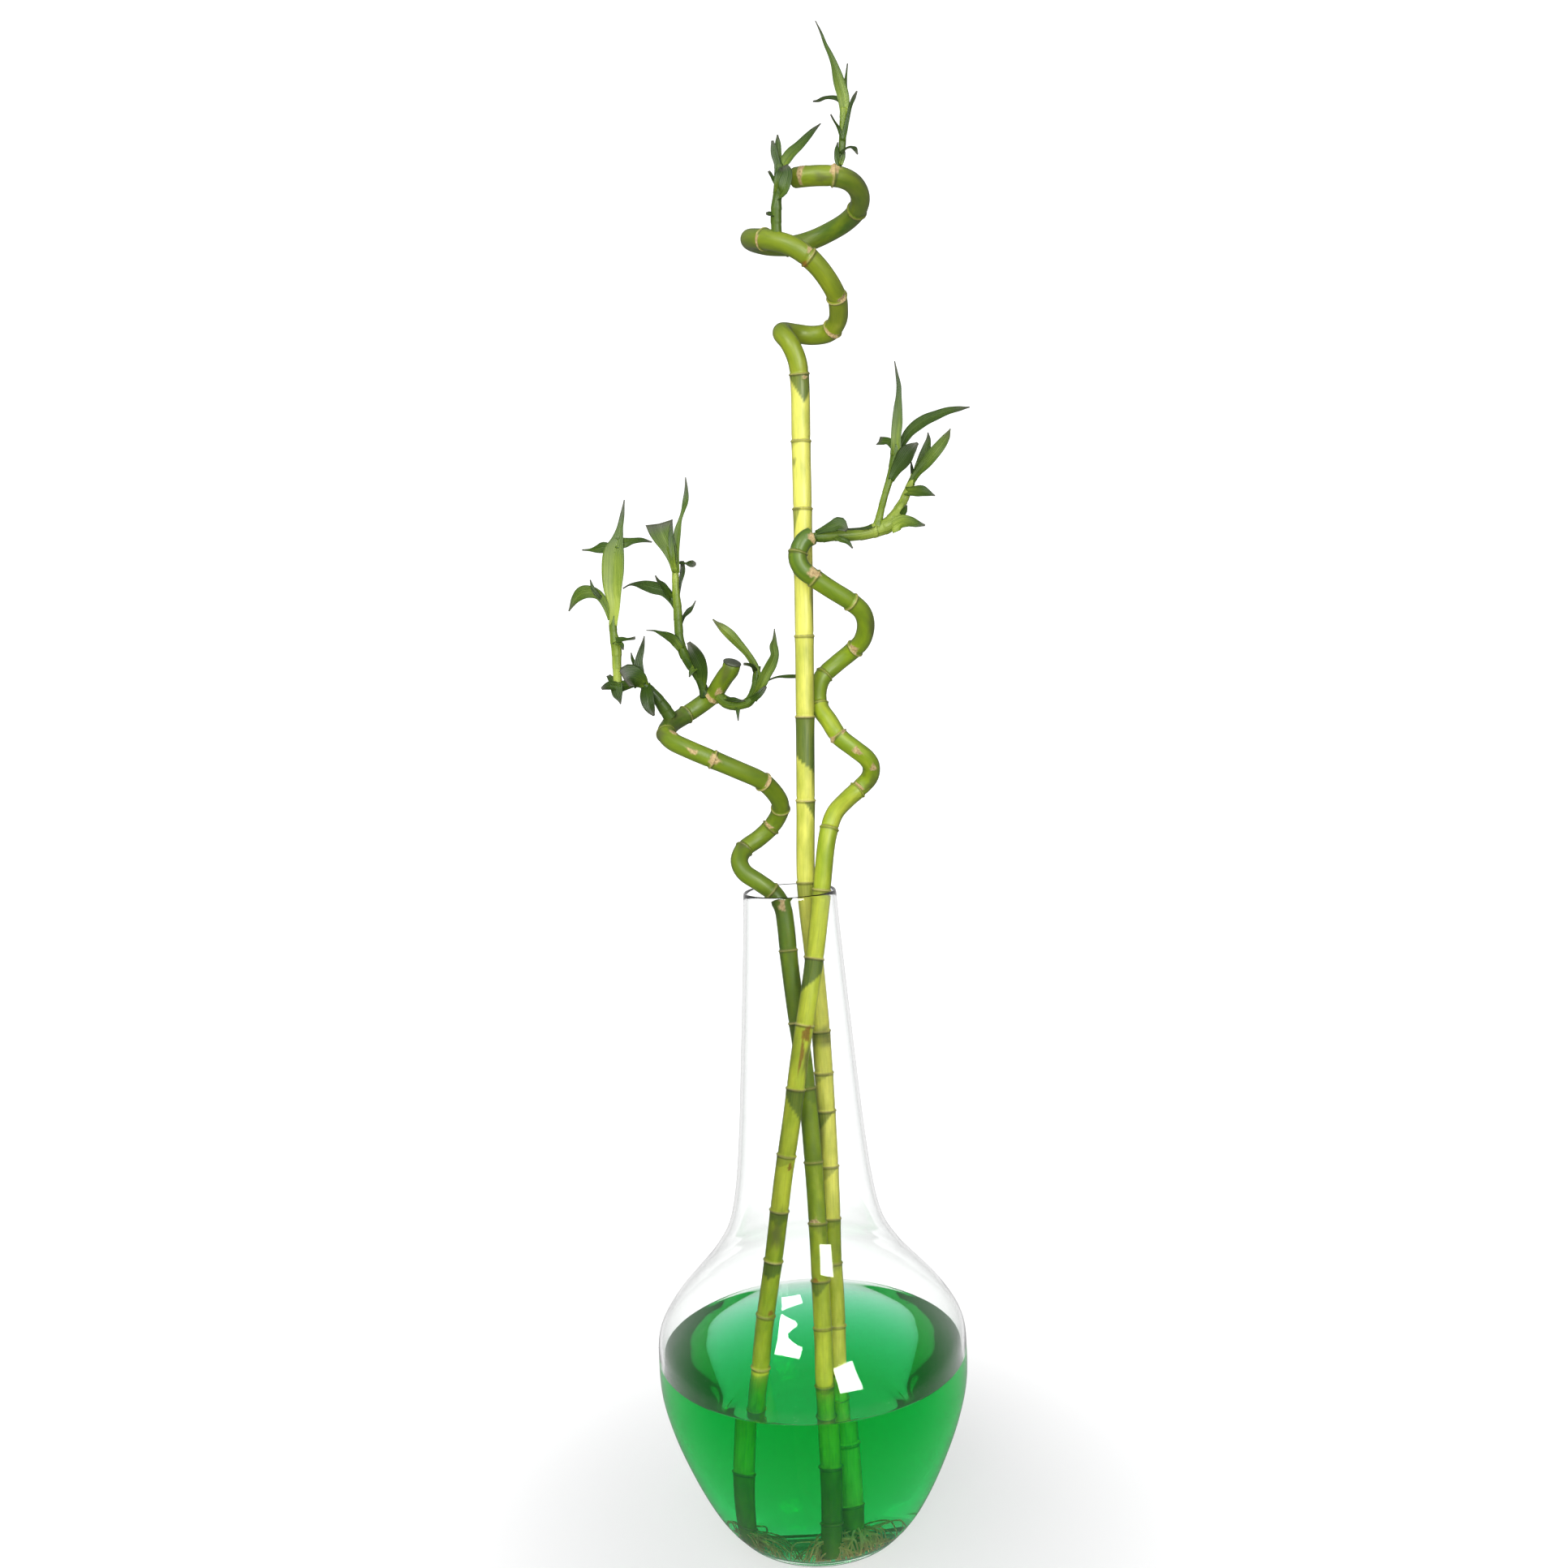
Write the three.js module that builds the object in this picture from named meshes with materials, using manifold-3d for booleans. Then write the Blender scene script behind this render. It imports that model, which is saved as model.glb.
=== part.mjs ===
// Three spiralled lucky bamboo stalks, Dracaena sanderiana, standing in green water in a
// clear glass bottle vase. All lengths are millimetres. The origin is the middle of the
// vase's foot, on the surface that it stands on, with +Z up. The side with -Y is the front.
import * as THREE from "three";
import { mergeVertices } from "three/addons/utils/BufferGeometryUtils.js";
import Module from "manifold-3d";

const wasm = await Module();
wasm.setup();

// Driving dimensions of the vase and the water
const VASE_HEIGHT = 500;
const FOOT_RADIUS = 58;
const BASE_THICKNESS = 9;
const WALL_LOW = 3.2;
const WALL_MOUTH = 2.4;
const NECK_SHARE = 0.5;
const WATER_LEVEL = 139.5;
const VASE_FACETS = 30;
const OUTSIDE_STEPS = 17;
const INSIDE_STEPS = 15;

// Outside of the vase from the heel of the foot to the mouth, as radius and height
const VASE_OUTLINE = [
  [71, 6], [82, 20], [93, 40], [104, 65], [113, 90], [119, 115], [120, 140], [118, 160],
  [106, 180], [88.5, 200], [74, 217], [60.5, 240], [53.5, 270], [48.5, 315], [43.5, 380],
  [38.5, 450], [35.7, VASE_HEIGHT - 3],
];

// Driving dimensions of the stalks
const TALL_RADIUS = 7.3;
const RIGHT_RADIUS = 7;
const LEFT_RADIUS = 7;
const STALK_SIDES = 10;
const RING_SWELL = 0.7;
const RING_HALF_LENGTH = 1.8;
const RING_CLEARANCE = 4;
const STRAIGHT_STEP = 45;
const COIL_STEP = 13;

// Clear space left between two solids that touch on the real plant
const SEAT_GAP = 0.3;

// Middle line of the tall stalk, from its foot in the water up to its cut end
const TALL_ROUTE = [
  [19.5, -43.5, 14], [19, -45, 60], [18, -44, 105], [17.7, -41.5, 139], [18.8, -33, 191],
  [18.2, -27, 221], [18.9, -21, 250], [19.5, -14, 286], [19.4, -8, 328], [18.5, -2, 390],
  [16, 3, 448], [13, 7, 500], [15.8, 6, 568], [18.5, 5, 632], [20.9, 4, 693], [22.6, 4, 740],
  [24.2, 4, 787], [25.5, 4, 836], [26.8, 3, 880], [25.5, 0.5, 896], [20.5, 0.5, 909],
  [15.5, 7, 917.5], [17.5, 18, 921.5], [26.5, 27, 922], [39, 29, 920.5], [51, 24, 921],
  [57.5, 12, 926.5], [58, 0, 932], [56.5, -11, 937.5], [51.5, -22, 944.5], [43, -31, 954],
  [34.5, -36, 961], [24.5, -37, 967.5], [10, -30, 974.5], [-1, -14, 981], [-5, 3, 986],
  [-1, 20, 988.5], [10.5, 33, 989.5], [26.5, 41, 991.5], [42, 42, 995], [56, 37, 999],
  [68, 27, 1002.5], [75.5, 12, 1005.5], [77.5, -3, 1009], [74, -17, 1012.5],
  [67.5, -27, 1014.5], [58.5, -33, 1015.5], [48, -33, 1016.5], [38.5, -30, 1017.5],
  [29, -24, 1019],
];

// Middle line of the stalk that winds to the right
const RIGHT_ROUTE = [
  [-47, -36, 14], [-46, -38, 60], [-43.5, -38, 105], [-40.5, -38, 139], [-36, -38, 172],
  [-31.5, -38, 197], [-25.6, -38, 228], [-20.4, -38, 259], [-15.2, -37, 290], [-7, -34, 332],
  [1.6, -29, 380], [7.6, -25, 409], [16, -16, 450], [24, -8, 498], [31, -5, 541], [37, 2, 556.5],
  [47.5, 13, 566], [57.5, 18.5, 573.5], [66, 17.5, 582], [67.3, 11.5, 591], [63.5, 6, 598],
  [55.5, 3, 605], [43.5, 4, 615.5], [36.5, 9, 627.5], [30.5, 16, 637.5], [29.5, 21, 649],
  [34, 26, 661], [45, 29, 670.5], [56.5, 27, 679], [65, 19, 687], [68, 8, 699],
  [65, 0, 708.5], [56.5, -7, 716], [42, -13, 725.5], [30, -17, 734], [21.5, -18, 741],
  [18.3, -17.5, 749], [20.3, -16.5, 757], [24.3, -15, 762.5], [30, -14, 765.5],
];

// Middle line of the stalk that leans over the rim to the left
const LEFT_ROUTE = [
  [5, -58, 14], [7, -61, 60], [7.6, -61.5, 105], [7.4, -58, 139], [8.2, -52, 170],
  [8.3, -46, 198], [8.5, -37.5, 238], [8.2, -31, 268], [7, -22, 315], [5.6, -17, 345],
  [3.5, -12, 375], [0, -6, 411], [-3, 0, 448], [-4.3, 4, 473], [-6, 6, 486], [-12, 6, 497], [-23.5, 4, 507],
  [-34, 5, 515], [-37.5, 11, 523], [-33.5, 20, 531], [-22, 26, 538], [-11.5, 26, 547],
  [-4.8, 21, 557.5], [-3.8, 13, 566], [-8.5, 3, 576], [-17, -8, 585.5], [-33.5, -19, 595],
  [-53, -26, 605], [-69.5, -26, 613], [-81.5, -18, 619], [-87, -4, 625], [-83.5, 11, 631],
  [-74.5, 22, 636.5], [-66, 27, 641.5], [-57.5, 28, 647], [-50, 24, 653], [-45.5, 18, 659],
  [-40.5, 12, 665.5], [-36.5, 8, 670], [-35, 6.3, 674.5],
];

const SPAN_DIVISIONS = 30;
const toVector = ([x, y, z]) => new THREE.Vector3(x, y, z);

function curveThrough(route) {
  const curve = new THREE.CatmullRomCurve3(route.map(toVector), false, "centripetal");
  curve.arcLengthDivisions = SPAN_DIVISIONS * (route.length - 1);
  return curve;
}

// A closed skin over rings of points. Each end is closed by a strip across its ring.
function loft(rings) {
  const count = rings[0].length;
  const positions = rings.flat().flatMap((point) => [point.x, point.y, point.z]);
  const faces = [];
  for (let ring = 0; ring < rings.length - 1; ring += 1) {
    for (let side = 0; side < count; side += 1) {
      const next = (side + 1) % count;
      const lower = ring * count;
      const upper = lower + count;
      faces.push(lower + side, lower + next, upper + next);
      faces.push(lower + side, upper + next, upper + side);
    }
  }
  const last = (rings.length - 1) * count;
  for (let side = 0; side < count / 2 - 1; side += 1) {
    const across = count - 1 - side;
    faces.push(side, across, across - 1, side, across - 1, side + 1);
    faces.push(last + side, last + across - 1, last + across);
    faces.push(last + side, last + side + 1, last + across - 1);
  }
  const geometry = new THREE.BufferGeometry();
  geometry.setAttribute("position", new THREE.Float32BufferAttribute(positions, 3));
  geometry.setIndex(faces);
  return geometry;
}

// Merges the shared points of a geometry and hands it to the solid library
function toSolid(geometry) {
  const bare = geometry.clone();
  bare.deleteAttribute("normal");
  bare.deleteAttribute("uv");
  const merged = mergeVertices(bare, 1e-3);
  const index = merged.getIndex().array;
  const faces = [];
  for (let i = 0; i < index.length; i += 3) {
    const [a, b, c] = [index[i], index[i + 1], index[i + 2]];
    if (a !== b && b !== c && c !== a) faces.push(a, b, c);
  }
  const vertProperties = Float32Array.from(merged.getAttribute("position").array);
  const solid = new wasm.Manifold(
    new wasm.Mesh({ numProp: 3, vertProperties, triVerts: Uint32Array.from(faces) }),
  );
  if (solid.volume() < 0) throw new Error("a loft is inside out");
  return solid;
}

function toGeometry(solid) {
  const mesh = solid.getMesh();
  const geometry = new THREE.BufferGeometry();
  geometry.setAttribute("position", new THREE.Float32BufferAttribute(mesh.vertProperties, 3));
  geometry.setIndex(Array.from(mesh.triVerts));
  geometry.computeVertexNormals();
  return geometry;
}

const fuse = (solids) => solids.reduce((whole, solid) => whole.add(solid));

// The biggest body of a solid, without the loose scraps that a cut can leave
function biggestBody(solid) {
  return solid.decompose().reduce((big, body) => (body.volume() > big.volume() ? body : big));
}

// A round rod along a curve, with its own radius at each distance from the start. Its first
// sideways direction comes from the X axis, or from the Y axis where the curve follows X.
const FOLLOWS_X = 0.2;

function rod(curve, distances, radiusAt, sides) {
  const length = curve.getLength();
  let sideways = null;
  const rings = distances.map((distance) => {
    const along = THREE.MathUtils.clamp(distance / length, 0, 1);
    const centre = curve.getPointAt(along);
    const ahead = curve.getTangentAt(along);
    if (sideways === null) {
      sideways = new THREE.Vector3(1, 0, 0).cross(ahead);
      if (sideways.length() < FOLLOWS_X) sideways = new THREE.Vector3(0, 1, 0).cross(ahead);
    }
    sideways = sideways.clone().addScaledVector(ahead, -sideways.dot(ahead)).normalize();
    const upward = ahead.clone().cross(sideways);
    const radius = radiusAt(distance);
    return Array.from({ length: sides }, (_, side) => {
      const angle = (2 * Math.PI * side) / sides;
      return centre.clone()
        .addScaledVector(sideways, radius * Math.cos(angle))
        .addScaledVector(upward, radius * Math.sin(angle));
    });
  });
  return toSolid(loft(rings));
}

// A stalk swells at the ring that each fallen leaf left. The coil at its top takes shorter
// steps than the rest. A gap makes the fatter copy that keeps other pieces off the stalk.
function stalk({ route, radius, rings, coilStart }, gap) {
  const curve = curveThrough(route);
  const length = curve.getLength();
  const clearOfRings = (place) => rings.every((ring) => Math.abs(ring - place) > RING_CLEARANCE);
  const distances = [0, length];
  let next = STRAIGHT_STEP;
  while (next < length - COIL_STEP / 2) {
    if (clearOfRings(next)) distances.push(next);
    next += next < coilStart ? STRAIGHT_STEP : COIL_STEP;
  }
  rings.forEach((ring) => distances.push(ring - RING_HALF_LENGTH, ring, ring + RING_HALF_LENGTH));
  distances.sort((a, b) => a - b);
  const swellAt = (distance) => (rings.includes(distance) ? RING_SWELL : 0);
  return rod(curve, distances, (distance) => radius + gap + swellAt(distance), STALK_SIDES);
}

// Roots grow out of the lowest part of a stalk and bend down on to the floor of the vase
const ROOTS_PER_STALK = 7;
const ROOT_RADIUS = 1.1;
const ROOT_REACH = 17;
const ROOT_LOWEST = 6;
const ROOT_RISE = 4;
const ROOT_TIERS = 3;
const ROOT_SIDES = 4;
const ROOT_STATIONS = [0, 0.5, 0.8, 1];
const ROOT_BENDS = [0.6, 0.9];
const ROOT_ARCH = 1;
const ROOT_BASE_SHARE = 1.1;
const ROOT_TAPER = 0.5;

function roots(foot, { facing, spread }) {
  const floor = BASE_THICKNESS + 2 * ROOT_RADIUS;
  const fan = [];
  for (let count = 0; count < ROOTS_PER_STALK; count += 1) {
    const share = count / (ROOTS_PER_STALK - 1) - 0.5;
    const angle = THREE.MathUtils.degToRad(facing + spread * share);
    const start = floor + ROOT_LOWEST + ROOT_RISE * (count % ROOT_TIERS);
    const outward = new THREE.Vector3(Math.cos(angle), Math.sin(angle), 0);
    const point = (reach, level) => foot.clone().addScaledVector(outward, reach).setZ(level);
    const route = new THREE.CatmullRomCurve3([
      point(0, start),
      point(ROOT_BENDS[0] * ROOT_REACH, start + ROOT_ARCH),
      point(ROOT_BENDS[1] * ROOT_REACH, (start + floor) / 2),
      point(ROOT_REACH, floor),
    ]);
    const length = route.getLength();
    const distances = ROOT_STATIONS.map((station) => station * length);
    const shareAt = (distance) => ROOT_BASE_SHARE - (ROOT_TAPER * distance) / length;
    const radiusAt = (distance) => ROOT_RADIUS * shareAt(distance);
    fan.push(rod(route, distances, radiusAt, ROOT_SIDES));
  }
  return fan;
}

// The three stalks. Rings and the start of the coil are distances along the stalk from its
// foot. The fan of roots faces away from the other stalks, in degrees from +X.
const stalks = {
  stalk_tall: {
    route: TALL_ROUTE,
    radius: TALL_RADIUS,
    rings: [
      42, 84, 124, 159, 205, 238, 277, 319, 348, 380, 438, 495, 558, 622, 683, 731, 778, 828, 877,
      969, 1005, 1044, 1083, 1165, 1234, 1289,
    ],
    coilStart: 870,
    fan: { facing: 30, spread: 200 },
    color: 0xa4bd3c,
  },
  stalk_right: {
    route: RIGHT_ROUTE,
    radius: RIGHT_RADIUS,
    rings: [
      20, 66, 130, 171, 214, 253, 295, 345, 393, 443, 495, 542, 585, 647, 678, 704, 736, 788,
      822, 846,
    ],
    coilStart: 520,
    fan: { facing: 37, spread: 200 },
    color: 0x6f9a2c,
  },
  stalk_left: {
    route: LEFT_ROUTE,
    radius: LEFT_RADIUS,
    rings: [
      33, 77, 122, 165, 199, 241, 286, 341, 391, 446, 495, 544, 572, 592, 628, 674, 724, 760,
      786,
    ],
    coilStart: 460,
    fan: { facing: 160, spread: 150 },
    color: 0x5d8a2a,
  },
};

const part = new THREE.Group();
const addPiece = (name, solid, material) => {
  const mesh = new THREE.Mesh(toGeometry(solid), new THREE.MeshStandardMaterial(material));
  mesh.name = name;
  part.add(mesh);
};
const STEM_FINISH = { roughness: 0.45, metalness: 0 };
const LEAF_FINISH = { color: 0x3f7a2a, roughness: 0.5, metalness: 0 };

// Every stalk is one piece with its roots
const stalkWithGap = {};
for (const [name, cane] of Object.entries(stalks)) {
  const foot = toVector(cane.route[0]);
  const whole = fuse([stalk(cane, 0), ...roots(foot, cane.fan)]);
  addPiece(name, whole, { color: cane.color, ...STEM_FINISH });
  stalkWithGap[name] = stalk(cane, SEAT_GAP);
}

// A solid turned about the Z axis, from a profile of radius and height
function lathe(profile, facets) {
  const points = profile.map(([radius, height]) => new THREE.Vector2(radius, height));
  return new THREE.LatheGeometry(points, facets).rotateX(Math.PI / 2);
}

// The cut end of the left stalk is sealed with a dab of dark wax
const SEAL_THICKNESS = 2.2;
const SEAL_EDGE = 0.6;
const SEAL_DOME = 0.3;
const SEAL_FACETS = 16;
const sealProfile = [
  [0, 0],
  [LEFT_RADIUS - 0.2, 0],
  [LEFT_RADIUS + 0.1, SEAL_EDGE],
  [LEFT_RADIUS - 0.3, SEAL_THICKNESS - SEAL_EDGE],
  [LEFT_RADIUS - 1.4, SEAL_THICKNESS],
  [0, SEAL_THICKNESS + SEAL_DOME],
];
const leftCurve = curveThrough(LEFT_ROUTE);
const leftEnd = leftCurve.getTangentAt(1);
const seal = lathe(sealProfile, SEAL_FACETS);
seal.applyQuaternion(new THREE.Quaternion().setFromUnitVectors(toVector([0, 0, 1]), leftEnd));
const sealPlace = leftCurve.getPointAt(1).addScaledVector(leftEnd, SEAT_GAP);
seal.translate(sealPlace.x, sealPlace.y, sealPlace.z);
addPiece("end_seal_left", toSolid(seal), { color: 0x39402f, roughness: 0.6, metalness: 0 });

// The vase is one blown bottle with a thick clear base. Its inside follows the outside. The
// share along the outline counts from the heel of the foot to the mouth.
const HEEL_WIDTH = 9;
const HEEL_RISE = 2.2;
const LIP_ROUNDING = 0.3;
const LIP_RISE = 0.8;
const FIRST_INSIDE = 0.055;
const FLOOR_CURVE = [4, 11];
const FLOOR_CURVE_RISE = 1.5;
const vaseCurve = new THREE.SplineCurve(
  VASE_OUTLINE.map(([radius, height]) => new THREE.Vector2(radius, height)),
);
const shares = (count) => Array.from({ length: count + 1 }, (_, step) => step / count);
const insideShares = shares(INSIDE_STEPS).map((share) => THREE.MathUtils.lerp(FIRST_INSIDE, 1, share));

function wallThickness(along) {
  return THREE.MathUtils.lerp(WALL_LOW, WALL_MOUTH, Math.min(1, along / NECK_SHARE));
}

function wallPoint(along, depth) {
  const point = vaseCurve.getPoint(along);
  const upward = vaseCurve.getTangent(along);
  return [point.x - upward.y * depth, point.y + upward.x * depth];
}

// The rounded corner between the floor and the inside wall, from the middle outward
function floorProfile(cornerRadius, level) {
  return [
    [0, level],
    [cornerRadius - FLOOR_CURVE[1], level],
    [cornerRadius - FLOOR_CURVE[0], level + FLOOR_CURVE_RISE],
  ];
}

const outside = shares(OUTSIDE_STEPS).map((along) => wallPoint(along, 0));
const inside = insideShares.map((along) => wallPoint(along, wallThickness(along)));
const [mouthRadius] = outside[OUTSIDE_STEPS];
const lip = [
  [mouthRadius - LIP_ROUNDING, VASE_HEIGHT - LIP_RISE],
  [mouthRadius - WALL_MOUTH / 2, VASE_HEIGHT],
  [mouthRadius - WALL_MOUTH + LIP_ROUNDING, VASE_HEIGHT - LIP_RISE],
];
const foot = [
  [0, 0],
  [FOOT_RADIUS, 0],
  [FOOT_RADIUS + HEEL_WIDTH, HEEL_RISE],
];
const floorCorner = floorProfile(inside[0][0], BASE_THICKNESS);
const vaseProfile = [...foot, ...outside, ...lip, ...inside.reverse(), ...floorCorner.reverse()];
addPiece("glass_vase", toSolid(lathe(vaseProfile, VASE_FACETS)), {
  color: 0xe6f2ee, roughness: 0.05, metalness: 0, transparent: true, opacity: 0.35,
});

// The water fills the vase to just below its shoulder. The stalks stand in plain holes in
// it, and their roots in a plain pocket on the floor.
const HOLE_CLEARANCE = 1.5;
const HOLE_RISE = 20;
const HOLE_LENGTH = WATER_LEVEL + HOLE_RISE;
const HOLE_STEPS = 7;
const POCKET_RADIUS = 21;
const POCKET_TOP = 34;
const POCKET_FACETS = 12;

const wetWall = insideShares.map((along) => wallPoint(along, wallThickness(along) + SEAT_GAP));
const firstDry = wetWall.findIndex(([, height]) => height > WATER_LEVEL);
const [below, above] = [wetWall[firstDry - 1], wetWall[firstDry]];
const rise = (WATER_LEVEL - below[1]) / (above[1] - below[1]);
const surfaceRadius = THREE.MathUtils.lerp(below[0], above[0], rise);
const waterProfile = [
  ...floorProfile(wetWall[0][0], BASE_THICKNESS + SEAT_GAP),
  ...wetWall.slice(0, firstDry),
  [surfaceRadius, WATER_LEVEL],
  [0, WATER_LEVEL],
];
const pocketProfile = [[0, 0], [POCKET_RADIUS, 0], [POCKET_RADIUS, POCKET_TOP], [0, POCKET_TOP]];
let water = toSolid(lathe(waterProfile, VASE_FACETS));
for (const { route, radius } of Object.values(stalks)) {
  const distances = shares(HOLE_STEPS).map((share) => share * HOLE_LENGTH);
  const holeRadius = radius + HOLE_CLEARANCE;
  const hole = rod(curveThrough(route), distances, () => holeRadius, STALK_SIDES);
  const pocket = lathe(pocketProfile, POCKET_FACETS).translate(route[0][0], route[0][1], 0);
  water = water.subtract(hole).subtract(toSolid(pocket));
}
addPiece("water", biggestBody(water), {
  color: 0x1fa03a, roughness: 0.05, metalness: 0, transparent: true, opacity: 0.6,
});

// A leaf is a thin blade, folded up a little on each side of its midrib. Each point of the
// midrib comes with the leaf's width there. The face is the way that its upper side looks.
const LEAF_THICKNESS = 0.7;
const LEAF_FOLD = 0.16;

function leaf(route, face) {
  const curve = curveThrough(route);
  const upper = new THREE.Vector3(...face);
  const rings = route.map(([, , , width], place) => {
    const along = place / (route.length - 1);
    const centre = curve.getPoint(along);
    const ahead = curve.getTangent(along);
    const across = ahead.clone().cross(upper).normalize();
    const outward = across.clone().cross(ahead);
    const half = width / 2;
    const edge = width * LEAF_FOLD;
    const spot = (side, lift) =>
      centre.clone().addScaledVector(across, side).addScaledVector(outward, lift);
    return [
      spot(-half, edge + LEAF_THICKNESS),
      spot(0, LEAF_THICKNESS),
      spot(half, edge + LEAF_THICKNESS),
      spot(half, edge),
      spot(0, 0),
      spot(-half, edge),
    ];
  });
  return toSolid(loft(rings));
}

// A stem is a round rod. Each point of its middle line comes with the stem's radius there.
const STEM_SIDES = 6;

function stem(route) {
  const curve = curveThrough(route);
  const lengths = curve.getLengths();
  const distances = route.map((_, place) => lengths[place * SPAN_DIVISIONS]);
  const radiusAt = (distance) => route[distances.indexOf(distance)][3];
  return rod(curve, distances, radiusAt, STEM_SIDES);
}

// A leafy shoot is fused from its stems and leaves, and ends just short of its stalk
const SHORTEST_EDGE = 0.05;
const FRONT = [0, -1, 0.1];

function addShoot(name, stalkName, pieces) {
  const shoot = fuse(pieces).subtract(stalkWithGap[stalkName]);
  addPiece(name, biggestBody(shoot).simplify(SHORTEST_EDGE), LEAF_FINISH);
}

// Shoot on the top turn of the tall stalk
addShoot("shoot_crown", "stalk_tall", [
  stem([
    [60.5, -34, 1020, 2.1], [62, -34.5, 1025.5, 2.1], [63.5, -35, 1032, 2.5],
    [64.5, -35, 1041, 2.6], [65.5, -35.5, 1050.5, 2.9], [66.5, -35.5, 1060.5, 3],
  ]),
  leaf([
    [66, -36, 1050.5, 5.5], [66.5, -36.5, 1059.5, 7], [66, -37, 1068, 8.5],
    [64, -36.5, 1076.5, 8.5], [62.5, -35.5, 1084, 7], [61, -34.5, 1091, 5], [58.5, -33, 1099, 3.5],
    [55.5, -31, 1107, 2.5], [53, -29.5, 1115.5, 1.8], [49.5, -28, 1124.5, 0.8],
  ], FRONT),
  leaf([
    [66, -35.5, 1057.5, 4], [67, -34.5, 1067.5, 5], [68, -33, 1078, 3], [69, -32, 1084, 1.9],
    [70.5, -31, 1093, 0.8],
  ], [0.3, -1, 0]),
  leaf([
    [66.5, -35, 1059, 3], [64.5, -33, 1066, 3.5], [62, -30, 1069.5, 4], [57.5, -25, 1072.5, 4],
    [53, -20, 1074, 3.5], [49, -17, 1074, 2], [46, -13, 1075.5, 0.9],
  ], [0, -1, 0.25]),
  leaf([
    [65, -37, 1038, 4], [67, -39, 1046, 3.5], [69, -40.5, 1053.5, 3], [71, -42, 1060, 3],
    [73.5, -44, 1064.5, 3], [75.5, -46, 1068, 0.8],
  ], [-0.3, -1, 0.2]),
  leaf([
    [63.5, -37, 1040, 3.5], [61.5, -39, 1045.5, 3], [58.5, -42, 1049.5, 2.5],
    [56, -45, 1053.5, 0.8],
  ], [0.3, -1, 0.5]),
  leaf([
    [63, -37, 1028.5, 3.5], [66, -40, 1031, 3], [69, -44, 1030.5, 3], [71.5, -48, 1028, 4],
    [73.5, -50, 1023.5, 0.9],
  ], [0, -1, 0.7]),
  leaf([
    [61, -36, 1021, 3], [60, -37, 1026, 4], [60, -36, 1032, 3], [61, -34, 1038, 1.2],
  ], [-0.4, -1, 0.1]),
  leaf([[62, -37, 1022, 3], [63.5, -38, 1026, 3.5], [65, -38.5, 1030, 2]], [0.4, -1, 0.1]),
]);

// Shoot on the front of the tall stalk's wide turn
addShoot("shoot_upper_left", "stalk_tall", [
  stem([
    [14.5, -34, 977.5, 3.7], [14.5, -36, 986, 3.9], [15, -38, 993, 3.9], [16, -39, 1000.5, 3.4],
    [18, -40, 1006.5, 4.3], [19, -40, 1014.5, 4.5], [18.5, -39.5, 1022, 3.5],
    [18.5, -39, 1027, 2.5],
  ]),
  leaf([
    [17, -41, 1015.5, 4], [17, -42, 1023, 4.5], [15.5, -43, 1029, 5], [15, -43.5, 1034, 4],
    [14.5, -44, 1038, 1.8],
  ], FRONT),
  leaf([
    [18, -39, 1016, 4], [18.5, -38, 1024.5, 4.5], [18.5, -37, 1032.5, 4.5], [18.5, -36, 1039, 4],
    [18.5, -35, 1045, 1.2],
  ], FRONT),
  leaf([
    [18.5, -41, 1017, 6.5], [22.5, -41, 1023, 8.5], [27.5, -40, 1029.5, 9], [33.5, -38.5, 1035, 8],
    [39.5, -36.5, 1041.5, 6], [44.5, -35, 1047, 3.5], [49.5, -33, 1052, 0.9],
  ], [-0.3, -1, 0.3]),
  leaf([
    [17, -40, 1000.5, 5.5], [20.5, -45, 1003, 8], [22.5, -46, 1009, 9], [24, -45.5, 1015, 7.5],
    [22.5, -44, 1020.5, 4],
  ], [-0.2, -1, 0.2]),
  leaf([
    [16, -42, 1004, 4], [17, -45, 1008.5, 6.5], [18.5, -45.5, 1013.5, 6.5],
    [20.5, -44, 1018.5, 3.5],
  ], [0.3, -1, 0.2]),
  leaf([[14, -38, 988.5, 3.5], [10.5, -40, 989, 4], [7.5, -41, 989, 2.5]], [0, -1, 0.5]),
  leaf([[16, -39, 1009, 3.5], [13.5, -38, 1014.5, 3], [11, -36, 1020, 1.8]], [0.3, -1, 0.2]),
]);

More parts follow.
